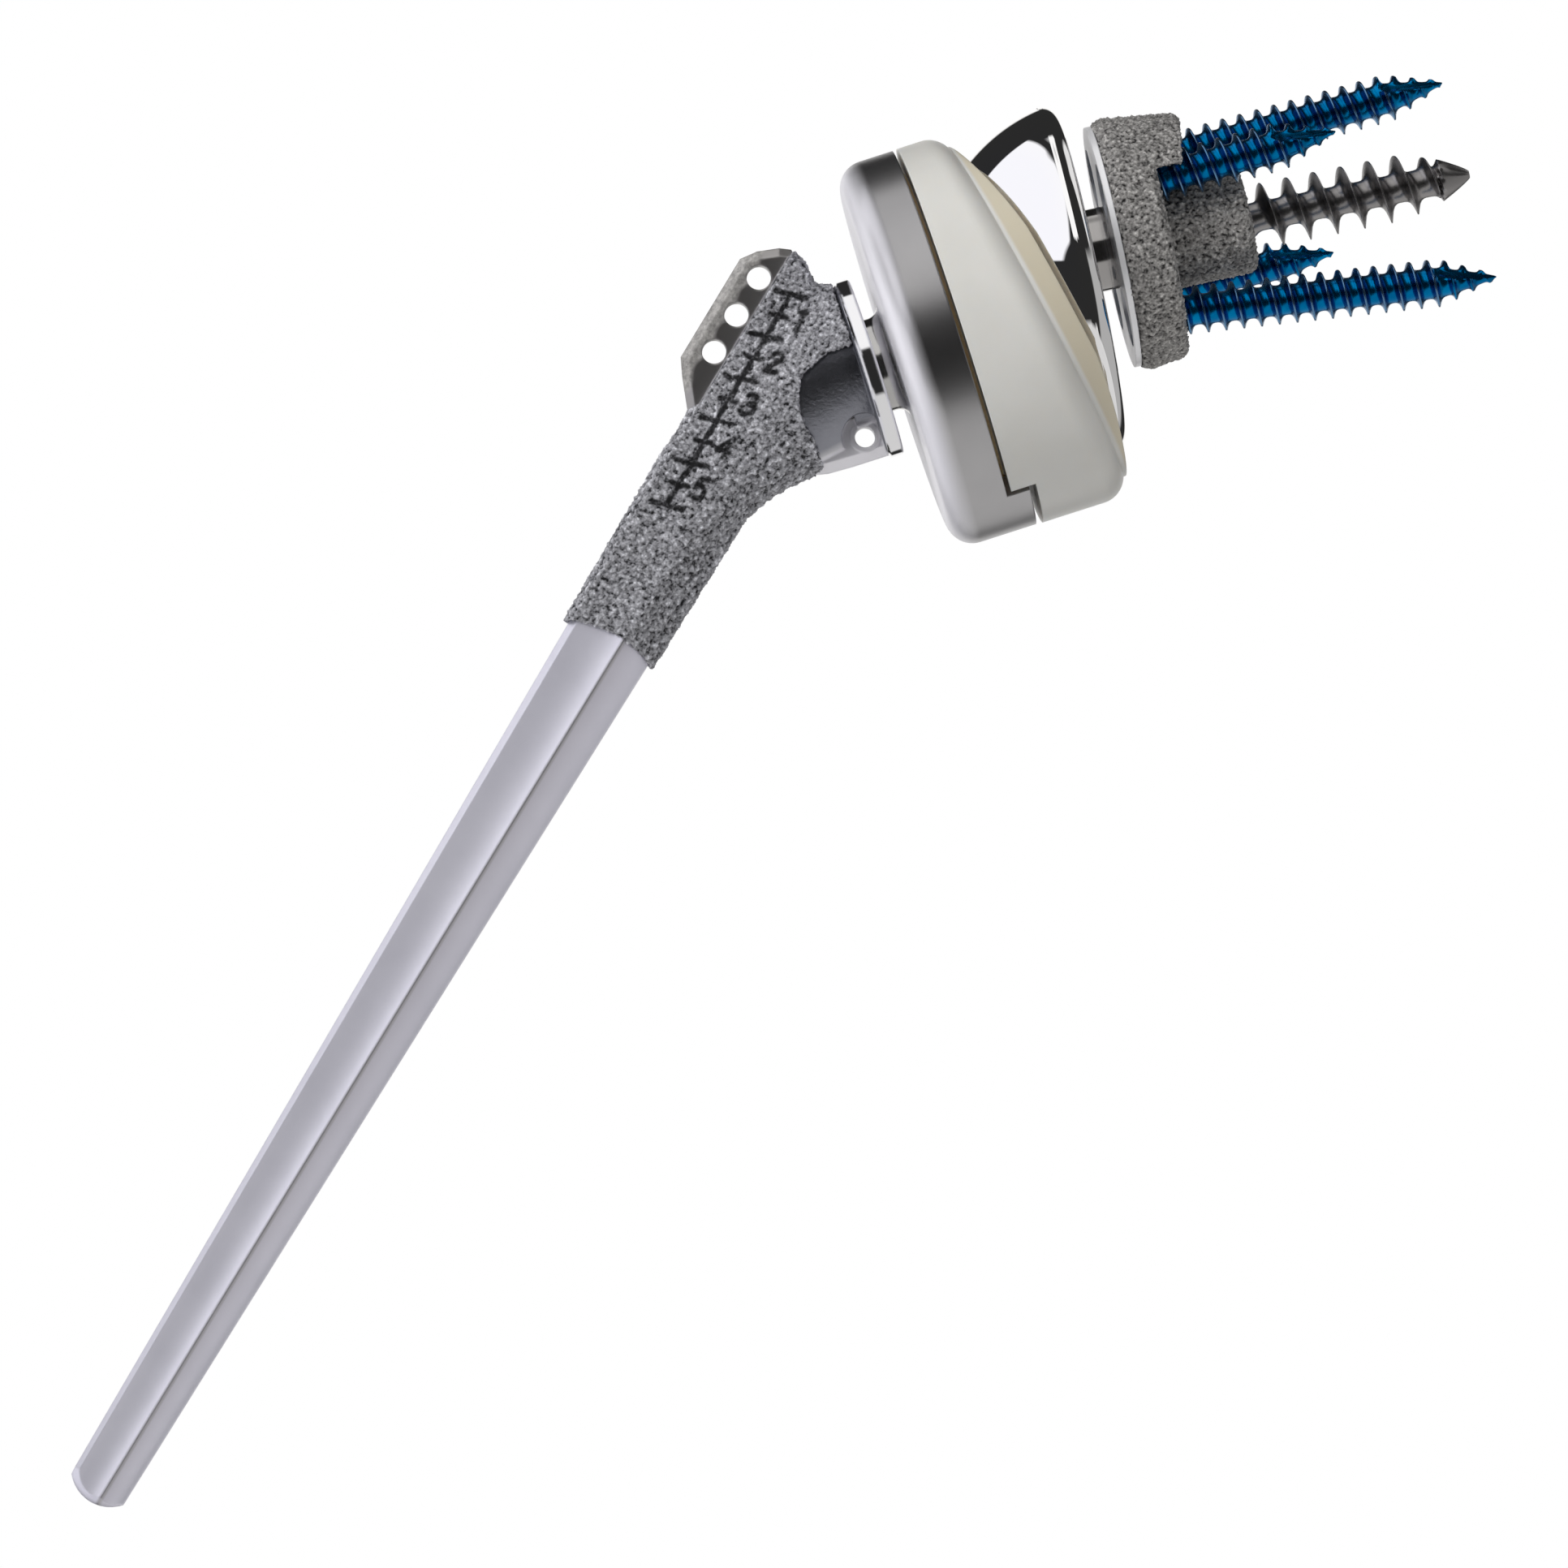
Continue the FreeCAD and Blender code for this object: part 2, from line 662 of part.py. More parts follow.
def liner():
    """The polyethylene liner: a spigot in the tray, a wedge-shaped flange and the cup."""
    body = new_body("liner", frame(size.neck_angle))
    spigot = size.tray_radius - size.tray_wall - size.seat_gap
    groove = spigot - size.groove_depth
    groove_end = size.groove_start + size.groove_width
    flange = size.tray_rim + size.rim_gap
    radius = size.tray_radius + size.liner_overhang
    sketch = draw(new_sketch(body, "liner_outline"), [
        (NONE, size.tray_floor), (spigot - 0.5, size.tray_floor),
        (spigot, size.tray_floor + 0.5), (spigot, size.groove_start), (groove, size.groove_start),
        (groove, groove_end), (spigot, groove_end), (spigot, flange), (radius, flange),
        (radius, size.cup_reach), (NONE, size.cup_reach)])
    turn_solid(body, sketch, "liner_turn")
    cup_axes = {"x": -size.cup_offset, "y": size.cup_reach, "turn": size.wedge_angle}
    face = draw(new_sketch(body, "liner_face", **cup_axes), [
        (-FAR, -size.face_depth), (FAR, -size.face_depth), (FAR, FAR), (-FAR, FAR)])
    wedge = pad(body, face, "liner_wedge", FAR * 2, cut=True)
    body.Tip = wedge

    def is_face_edge(edge):
        middle = edge.valueAt((edge.FirstParameter + edge.LastParameter) / 2)
        reach = math.hypot(middle.x, middle.y)
        return edge.BoundBox.ZLength > 2.0 and abs(reach - radius.value) < 0.01

    soften(body, wedge, "liner_rim", size.liner_round, is_face_edge)
    notch = sector(body, "notch_outline", spigot - 0.3, radius + 5,
                   size.tab_half_angle + size.notch_gap * 3, flange - 1)
    body.Tip = pad(body, notch, "notch_pocket", size.tab_height + size.notch_gap + 1 - size.rim_gap,
                   both=False, cut=True, back=True)
    x, z = cup_centre()
    cup = doc.addObject("Part::Sphere", "cup")
    cup.setExpression("Radius", (size.head_radius + size.cup_clearance).text)
    cup.setExpression("Placement", frame(NONE, x, NONE, z))
    return cut_from("liner", join("liner_solid", body, lip()), cup)


def lip():
    """The raised lip round the cup's mouth, hollowed so that it is highest in front and behind."""
    x, z = cup_centre()
    angle = size.neck_angle - size.wedge_angle
    body = new_body("lip_ring", frame(angle, x, NONE, z))
    sketch = draw(new_sketch(body, "lip_outline"), [
        (size.lip_radius - 4, -size.face_depth - 1), (size.lip_radius, -size.face_depth - 1),
        (size.lip_radius, -size.face_depth), (size.lip_top_radius, -size.face_depth + size.lip_height),
        (size.lip_radius - 4, -size.face_depth + size.lip_height)])
    body.Tip = turn_solid(body, sketch, "lip_turn")
    curve_x, curve_z = shifted((x, z), angle, -FAR, -size.face_depth + size.lip_curve)
    hollow = cylinder("lip_hollow", size.lip_curve, FAR * 2,
                      frame(angle + 90, curve_x, NONE, curve_z))
    return cut_from("lip", body, hollow)


def cup_centre():
    return neck_point(-size.cup_offset, size.cup_reach)


def glenosphere():
    """The polished head, a little less than half a ball, with a socket for the adaptor."""
    x, z = cup_centre()
    body = new_body("glenosphere", frame(size.glenoid_angle, x, NONE, z))
    rim = root(size.head_radius * size.head_radius - size.head_base * size.head_base)
    sketch = draw(new_sketch(body, "head_outline"), [
        (NONE, -size.head_radius), (rim, -size.head_base), (size.socket_radius, -size.head_base),
        (size.socket_radius, -(size.head_base + size.socket_depth)),
        (NONE, -(size.head_base + size.socket_depth))],
        arcs={0: (NONE, NONE, 1)}, loose={1: "x"})
    head = turn_solid(body, sketch, "head_turn")
    body.Tip = head

    def is_rim(edge):
        return abs(edge.BoundBox.XLength - rim.value * 2) < 0.01 and edge.BoundBox.ZLength < 0.01

    soften(body, head, "head_rim", size.head_round, is_rim)
    return body


def plate_point(across, along):
    """A point of the baseplate's own axes; its front face is at zero."""
    base = shifted(cup_centre(), size.glenoid_angle, -size.eccentricity, size.plate_front)
    return shifted(base, size.glenoid_angle, across, along)


def taper_adaptor():
    """The adaptor: a round head in the ball's socket and an offset stub in the baseplate."""
    x, z = cup_centre()
    body = new_body("taper_adaptor", frame(size.glenoid_angle, x, NONE, z))
    radius = size.socket_radius - size.socket_clearance
    low = -(size.head_base + size.adaptor_depth)
    edge = size.adaptor_edge
    sketch = draw(new_sketch(body, "adaptor_head"), [
        (NONE, low), (radius - edge, low), (radius, low + edge), (radius, -size.head_base - edge),
        (radius - edge, -size.head_base), (NONE, -size.head_base)])
    turn_solid(body, sketch, "adaptor_turn")
    stub = draw(new_sketch(body, "adaptor_stub", x=-size.eccentricity, y=NONE), [
        (NONE, -size.head_base - 1), (size.stub_radius, -size.head_base - 1),
        (size.stub_radius, size.plate_front),
        (size.stub_tip_radius, size.plate_front + size.stub_depth),
        (NONE, size.plate_front + size.stub_depth)])
    body.Tip = turn_solid(body, stub, "adaptor_stub_turn")
    return body


def plate_shape(name, shrink):
    """The disc, its boss and the raised superior part that stays inside the disc's cone."""
    x, z = plate_point(NONE, NONE)
    place = frame(size.glenoid_angle, x, NONE, z)
    body = new_body(f"{name}_disc", place)
    back = size.plate_thickness - shrink
    widest = size.plate_lip + 1
    radius = size.plate_radius - shrink
    back_radius = size.plate_back_radius - shrink
    boss = size.boss_radius - shrink
    end = size.boss_end - shrink
    sketch = draw(new_sketch(body, f"{name}_outline"), [
        (NONE, size.plate_lip), (size.plate_edge_radius - shrink, size.plate_lip), (radius, widest),
        (back_radius, back), (boss, back), (boss, end), (NONE, end)])
    disc = turn_solid(body, sketch, f"{name}_turn")
    body.Tip = disc

    def is_outer_edge(edge):
        box = edge.BoundBox
        at_back = abs(box.XLength / 2 - back_radius.value) < 0.01 and box.ZMin > widest.value + 1
        at_end = abs(box.XLength / 2 - boss.value) < 0.01 and box.ZMin > back.value + 1
        return box.ZLength < 0.01 and (at_back or at_end)

    soften(body, disc, f"{name}_edges", size.plate_round, is_outer_edge)
    flare = (size.plate_radius - size.plate_back_radius) / (size.plate_thickness - widest)
    high = size.augment_high - shrink
    cone = new_body(f"{name}_cone", place)
    sketch = draw(new_sketch(cone, f"{name}_cone_outline"), [
        (NONE, widest), (radius, widest), (radius - flare * (high - widest), high), (NONE, high)])
    turned = turn_solid(cone, sketch, f"{name}_cone_turn")
    cone.Tip = turned

    def is_top_edge(edge):
        return edge.BoundBox.ZLength < 0.01 and edge.BoundBox.ZMin > high.value - 0.01

    soften(cone, turned, f"{name}_cone_edge", size.plate_round, is_top_edge)
    wedge = new_body(f"{name}_wedge", place)
    inner = -(size.augment_start + shrink)
    outer = -(size.plate_radius + 1)
    sketch = draw(new_sketch(wedge, f"{name}_wedge_outline"), [
        (inner, 1.0), (inner, size.augment_low - shrink), (outer, high + 0.6), (outer, 1.0)])
    wedge.Tip = pad(wedge, sketch, f"{name}_wedge_pad", FAR)
    return join(name, body, common_of(f"{name}_augment", cone, wedge))


SCREWS = {
    "screw_superior": (-1, 1, "superior", "hole_turn"),
    "screw_anterior": (-1, -1, "anterior", "side_hole_turn"),
    "screw_inferior": (1, -1, "inferior", "hole_turn"),
    "screw_posterior": (1, 1, "posterior", "side_hole_turn"),
}


def screw_station(name):
    """Where a locking screw's hole crosses the front face, its lean and its length."""
    hand, side, kind, turn = SCREWS[name]
    turn = getattr(size, turn)
    if kind in ("superior", "inferior"):
        reach, aside = cosine(turn), sine(turn)
    else:
        reach, aside = sine(turn), cosine(turn)
    across = size.hole_circle * reach * hand
    offset = size.hole_circle * aside * side
    lean = getattr(size, f"{kind}_lean")
    return across, offset, lean, getattr(size, f"{kind}_length")


def screw_frame(name):
    across, offset, lean, _ = screw_station(name)
    x, z = plate_point(across, NONE)
    return frame(size.glenoid_angle + lean, x, offset, z)


def screw_holes():
    """A stepped hole for each locking screw."""
    holes = []
    for name in SCREWS:
        seat = size.screw_head_sink + size.screw_head_height
        sink = cylinder(f"{name}_sink", size.screw_head_radius + size.seat_gap, seat + 4,
                        screw_frame(name))
        sink.setExpression("Placement", screw_frame(name) + " * placement(vector(0; 0; 0 - 4); "
                                                            "rotation(vector(0; 0; 1); 0))")
        holes.append(sink)
        holes.append(cylinder(f"{name}_bore", size.screw_radius + size.screw_clearance,
                              size.boss_end, screw_frame(name)))
    return holes


def baseplate():
    """The metal core of the baseplate with its polished front and its holes."""
    x, z = plate_point(NONE, NONE)
    place = frame(size.glenoid_angle, x, NONE, z)
    core = plate_shape("plate_core", size.plate_coat)
    lip = cylinder("plate_front_disc", size.plate_front_radius, size.plate_lip, place)
    head = new_body("central_bore", place)
    seat = size.central_seat
    sketch = draw(new_sketch(head, "central_bore_outline"), [
        (NONE, -1), (size.stub_radius, -1), (size.stub_radius, 0),
        (size.stub_tip_radius, size.stub_depth),
        (size.central_head_radius + size.seat_gap, size.stub_depth + 0.4),
        (size.central_head_radius + size.seat_gap, seat),
        (size.central_crest + size.seat_gap, seat),
        (size.central_crest + size.seat_gap, size.boss_end + 1), (NONE, size.boss_end + 1)])
    head.Tip = turn_solid(head, sketch, "central_bore_turn")
    solid = join("plate_solid", core, lip)
    return cut_from("baseplate", solid, join("plate_holes", head, *screw_holes())), solid


def baseplate_coating(core):
    """The porous coat on the rim, the back and the boss."""
    x, z = plate_point(NONE, NONE)
    place = frame(size.glenoid_angle, x, NONE, z)
    outer = plate_shape("plate_coat_outer", NONE)
    bore = cylinder("plate_coat_bore", size.central_crest + size.seat_gap, size.boss_end + 1, place)
    holes = [cylinder(f"{name}_coat_bore", size.screw_radius + size.screw_clearance, size.boss_end + 2,
                      screw_frame(name)) for name in SCREWS]
    return cut_from("baseplate_coating", outer, join("plate_coat_limits", core, bore, *holes))


def hexagon(corner):
    return [(corner * cosine(60 * step), corner * sine(60 * step)) for step in range(6)]


def locking_screw(name):
    """A locking screw: a low head with a hexagon drive and a shank out to its thread's crests."""
    across, offset, lean, length = screw_station(name)
    body = new_body(name, screw_frame(name))
    top = size.screw_head_sink
    seat = top + size.screw_head_height
    tip = top + length
    sketch = draw(new_sketch(body, f"{name}_outline"), [
        (NONE, top), (size.screw_head_radius - 0.3, top), (size.screw_head_radius, top + 0.3),
        (size.screw_head_radius, seat), (size.screw_radius, seat),
        (size.screw_radius, tip - size.screw_tip_length), (size.screw_tip_radius, tip), (NONE, tip)])
    turn_solid(body, sketch, f"{name}_turn")
    drive = new_sketch(body, f"{name}_drive", "XY_Plane", lift=top)
    draw(drive, hexagon(size.screw_drive))
    body.Tip = pad(body, drive, f"{name}_socket", size.screw_drive_depth, both=False, cut=True, back=True)
    return body


def central_screw():
    """The central bone screw: a head in the boss and a rod as wide as its thread's crests."""
    seat = size.central_seat
    x, z = plate_point(NONE, seat)
    body = new_body("central_screw", frame(size.glenoid_angle + size.central_lean, x, NONE, z))
    tip = size.central_tip - seat
    shank_end = size.boss_end - seat
    radius = size.central_head_radius
    sketch = draw(new_sketch(body, "central_outline"), [
        (NONE, -size.central_head_height), (radius - 0.3, -size.central_head_height),
        (radius, 0.3 - size.central_head_height), (radius, NONE), (size.central_shank, NONE),
        (size.central_shank, shank_end + 0.2), (size.central_crest, shank_end + 0.5),
        (size.central_crest, tip - size.central_tip_length), (size.screw_tip_radius, tip), (NONE, tip)])
    turn_solid(body, sketch, "central_turn")
    drive = new_sketch(body, "central_drive_outline", "XY_Plane", lift=-size.central_head_height)
    draw(drive, hexagon(size.central_drive))
    body.Tip = pad(body, drive, "central_socket", size.screw_drive_depth, both=False, cut=True, back=True)
    return body


stem_part, stem_solid = stem()
plate_part, plate_solid = baseplate()
parts = {
    "stem": stem_part,
    "stem_coating": coating(stem_solid),
    "tray": tray(),
    "locking_ring": locking_ring(),
    "liner": liner(),
    "glenosphere": glenosphere(),
    "taper_adaptor": taper_adaptor(),
    "baseplate": plate_part,
    "baseplate_coating": baseplate_coating(plate_solid),
    "central_screw": central_screw(),
}
for screw_name in SCREWS:
    parts[screw_name] = locking_screw(screw_name)
doc.recompute()

for item in doc.Objects:
    if "Invalid" in item.State or "Error" in item.State:
        raise RuntimeError(f"{item.Name} failed: {item.State}")

os.makedirs("parts", exist_ok=True)
for node, item in parts.items():
    item.Label = node
    shape = item.Shape
    if shape.isNull() or not shape.isValid() or len(shape.Solids) != 1:
        raise RuntimeError(f"{node} isn't one valid solid: {len(shape.Solids)}")
    shape.exportStep(f"parts/{node}.step")
    print(f"{node:18} {shape.Volume:10.1f} mm3  {shape.BoundBox}")
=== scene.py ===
import math

import bmesh
import bpy
import numpy as np
from mathutils import Matrix, Vector, noise


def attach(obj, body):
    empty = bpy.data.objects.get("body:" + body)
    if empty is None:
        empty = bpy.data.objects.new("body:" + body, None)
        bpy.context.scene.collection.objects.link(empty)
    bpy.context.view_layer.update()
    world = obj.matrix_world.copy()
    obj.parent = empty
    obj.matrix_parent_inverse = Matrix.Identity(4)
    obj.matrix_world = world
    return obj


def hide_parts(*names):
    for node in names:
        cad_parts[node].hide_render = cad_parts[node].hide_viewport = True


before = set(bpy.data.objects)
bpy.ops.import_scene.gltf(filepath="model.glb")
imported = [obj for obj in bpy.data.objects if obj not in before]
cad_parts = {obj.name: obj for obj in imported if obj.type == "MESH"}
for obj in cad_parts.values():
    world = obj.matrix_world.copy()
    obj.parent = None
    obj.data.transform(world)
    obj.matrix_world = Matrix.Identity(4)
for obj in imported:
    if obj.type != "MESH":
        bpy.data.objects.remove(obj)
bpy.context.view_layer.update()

MM = 0.001

# Sizes shared with the solids, in millimetres and degrees
NECK_ANGLE = 41.0
GLENOID_ANGLE = 46.6
CUP_CENTRE = (23.1073, 29.2036)
HEAD_RADIUS = 17.6
ECCENTRICITY = 2.45
PLATE_FRONT = 0.8
WEDGE_ANGLE = 10.7
FACE_DEPTH = 7.85
TRAY_RIM = 20.7
TRAY_BACK = 14.6
TRAY_ROUND = 2.7
COLLAR_START = 11.25
COAT_END = 26.4

# The bare shaft: its tip, how fast it widens, and its crease and near edge as shares of its half width
SHAFT_TIP = 126.2
SHAFT_TIP_HALF = 2.95
SHAFT_SLOPE = 1.7 / 118.2
NEAR_EDGE = 0.84
CREASE = 0.28

# The fin and its three suture holes
FIN_START = 4.6
FIN_FOOT = -8
SUTURE_OFFSET = 6.0
SUTURE_FIRST = 2.55
SUTURE_PITCH = 4.25


def turned(angle, x=0.0, z=0.0):
    """A frame turned about Y and placed at x, z, in metres."""
    return Matrix.Translation((x * MM, 0, z * MM)) @ Matrix.Rotation(math.radians(angle), 4, "Y")


def direction(angle):
    """The unit vector at an angle from Z towards X."""
    return math.sin(math.radians(angle)), 0.0, math.cos(math.radians(angle))


NECK_AXIS = direction(NECK_ANGLE)
NECK_ACROSS = direction(NECK_ANGLE + 90)
FACE_AXIS = direction(NECK_ANGLE - WEDGE_ANGLE)
CUP_SPOT = (CUP_CENTRE[0], 0.0, CUP_CENTRE[1])
HEAD = turned(GLENOID_ANGLE, *CUP_CENTRE)
PLATE = HEAD @ Matrix.Translation((-ECCENTRICITY * MM, 0, PLATE_FRONT * MM))


class Tree:
    """A short way to write a node tree."""

    def __init__(self, tree):
        self.tree = tree

    def add(self, kind, **values):
        node = self.tree.nodes.new(kind)
        for key, value in values.items():
            setattr(node, key, value)
        return node

    def link(self, output, node, socket):
        self.tree.links.new(output, node.inputs[socket])

    def maths(self, operation, *values, clamp=False):
        node = self.add("ShaderNodeMath", operation=operation, use_clamp=clamp)
        for index, value in enumerate(values):
            if isinstance(value, (int, float)):
                node.inputs[index].default_value = value
            else:
                self.link(value, node, index)
        return node.outputs[0]


class Nodes(Tree):
    """A material's node tree, with the masks and textures that the finishes are made of."""

    def __init__(self, name):
        self.material = bpy.data.materials.new(name)
        self.material.use_nodes = True
        super().__init__(self.material.node_tree)
        self.shader = self.tree.nodes["Principled BSDF"]
        self.place = self.add("ShaderNodeTexCoord").outputs["Object"]

    def stretched(self, angle, keep):
        """Coordinates turned to an axis at an angle from Z, squeezed square to it for turning lines."""
        aligned = self.add("ShaderNodeMapping", vector_type="TEXTURE")
        aligned.inputs["Rotation"].default_value = (0, math.radians(angle), 0)
        self.link(self.place, aligned, "Vector")
        squeezed = self.add("ShaderNodeMapping")
        squeezed.inputs["Scale"].default_value = (keep, keep, 1)
        self.link(aligned.outputs["Vector"], squeezed, "Vector")
        return squeezed.outputs["Vector"]

    def noise(self, scale, detail=3.0, roughness=0.5, vector=None):
        node = self.add("ShaderNodeTexNoise")
        self.link(vector or self.place, node, "Vector")
        node.inputs["Scale"].default_value = scale
        node.inputs["Detail"].default_value = detail
        node.inputs["Roughness"].default_value = roughness
        return node.outputs["Fac"]

    def voronoi(self, scale):
        node = self.add("ShaderNodeTexVoronoi")
        self.link(self.place, node, "Vector")
        node.inputs["Scale"].default_value = scale
        return node.outputs["Distance"]

    def ramp(self, factor, *stops):
        node = self.add("ShaderNodeValToRGB")
        self.link(factor, node, "Fac")
        band = node.color_ramp
        while len(band.elements) < len(stops):
            band.elements.new(0.5)
        for element, (place, colour) in zip(band.elements, stops):
            element.position = place
            element.color = (*colour, 1) if len(colour) == 3 else colour
        return node.outputs["Color"]

    def tones(self, factor, low, high, pair):
        """The first colour of a pair up to low and the second from high."""
        return self.ramp(factor, (low, pair[0]), (high, pair[1]))

    def spread(self, factor, low, high, start=0.0, end=1.0):
        node = self.add("ShaderNodeMapRange")
        self.link(factor, node, "Value")
        node.inputs["From Min"].default_value = start
        node.inputs["From Max"].default_value = end
        node.inputs["To Min"].default_value = low
        node.inputs["To Max"].default_value = high
        return node.outputs["Result"]

    def mix(self, factor, first, second, blend="MIX"):
        node = self.add("ShaderNodeMix", data_type="RGBA", blend_type=blend)
        if isinstance(factor, float):
            node.inputs["Factor"].default_value = factor
        else:
            self.link(factor, node, "Factor")
        for socket, value in ((6, first), (7, second)):
            if isinstance(value, tuple):
                node.inputs[socket].default_value = (*value, 1)
            else:
                self.tree.links.new(value, node.inputs[socket])
        return node.outputs[2]

    def along(self, axis, origin=(0, 0, 0)):
        """How far the point lies along an axis from an origin, in mm."""
        offset = self.add("ShaderNodeVectorMath", operation="SUBTRACT")
        self.link(self.place, offset, 0)
        offset.inputs[1].default_value = [value * MM for value in origin]
        node = self.add("ShaderNodeVectorMath", operation="DOT_PRODUCT")
        self.link(offset.outputs["Vector"], node, 0)
        node.inputs[1].default_value = [value / MM for value in axis]
        return node.outputs["Value"]

    def above(self, value, edge, soft):
        """0 below the edge and 1 above it, over a soft border."""
        return self.spread(value, 0.0, 1.0, edge - soft / 2, edge + soft / 2)

    def below(self, value, edge, soft):
        """1 below the edge and 0 above it, over a soft border."""
        return self.off(self.above(value, edge, soft))

    def off(self, mask):
        """1 where the mask is 0, and 0 where it is 1."""
        return self.maths("SUBTRACT", 1.0, mask)

    def both(self, first, second):
        return self.maths("MULTIPLY", first, second)

    def distance(self, value):
        return self.maths("ABSOLUTE", value)

    def shifted(self, value, mask, amount):
        """The value, changed by an amount where the mask is 1, and held within 0 to 1."""
        return self.maths("MULTIPLY_ADD", mask, amount, value, clamp=True)

    def attribute(self, name):
        return self.add("ShaderNodeAttribute", attribute_name=name).outputs["Fac"]

    def bump(self, *layers, edge=0.0):
        """layers: (height output, distance in mm, strength). edge: how far corners are softened, in mm."""
        normal = None
        if edge:
            rounded = self.add("ShaderNodeBevel", samples=6)
            rounded.inputs["Radius"].default_value = edge * MM
            normal = rounded.outputs["Normal"]
        for height, distance, strength in layers:
            node = self.add("ShaderNodeBump")
            node.inputs["Distance"].default_value = distance * MM
            node.inputs["Strength"].default_value = strength
            self.link(height, node, "Height")
            if normal:
                self.link(normal, node, "Normal")
            normal = node.outputs["Normal"]
        self.link(normal, self.shader, "Normal")

    def set(self, **values):
        for key, value in values.items():
            socket = self.shader.inputs[key.replace("_", " ")]
            if isinstance(value, bpy.types.NodeSocket):
                self.tree.links.new(value, socket)
            elif socket.type == "RGBA":
                socket.default_value = (*value, 1)
            else:
                socket.default_value = value


def satin(name, colour, roughness, grain=0.3, edge=0.0):
    """Fine blasted metal: a cloud of tone, a fine grain and softened corners."""
    m = Nodes(name)
    fine = m.noise(9000, 4, 0.6)
    cloud = m.noise(240, 3)
    base = m.ramp(cloud, (0.3, tuple(c * 0.94 for c in colour)), (0.7, colour))
    m.set(Base_Color=base, Metallic=1.0, Roughness=m.spread(fine, roughness - 0.05, roughness + 0.06))
    m.bump((fine, 0.01, grain), (cloud, 0.02, 0.08), edge=edge)
    return m.material


# The casting's tones; the neck's sides, crease and root get painted shade, the rib a painted highlight
STEM_TONES = {
    "shaft": ((0.80, 0.79, 0.89), (0.87, 0.86, 0.96)),
    "shaded_cheeks": ((0.19, 0.195, 0.225), (0.28, 0.285, 0.32)),
    "speckle": ((0.30, 0.29, 0.28), (0.56, 0.545, 0.525)),
    "neck": (0.62, 0.615, 0.64),
    "lit_web": (0.80, 0.79, 0.83),
    "root": (0.52, 0.50, 0.56),
    "crease": (0.50, 0.49, 0.52),
    "fin": (0.54, 0.525, 0.52),
    "collar": (0.84, 0.84, 0.86),
}
SHAFT_FINISH = COAT_END - 9
WEB_START = 4.2
WEB_HALF = 2.2
CHEEK_START = 2.6
CREASE_HALF = 0.20
BLAST_MARGIN = 0.55
BLAST_WAVE = 0.35
ROOT_WIDTH = 0.36


def flute(m, spot, low, high):
    """0 in the middle of a shallow flute across the shaft and 1 at its edges."""
    across = m.distance(m.spread(spot, -1, 1, low, high))
    return m.maths("MINIMUM", m.maths("POWER", across, 2.0), 1.0)


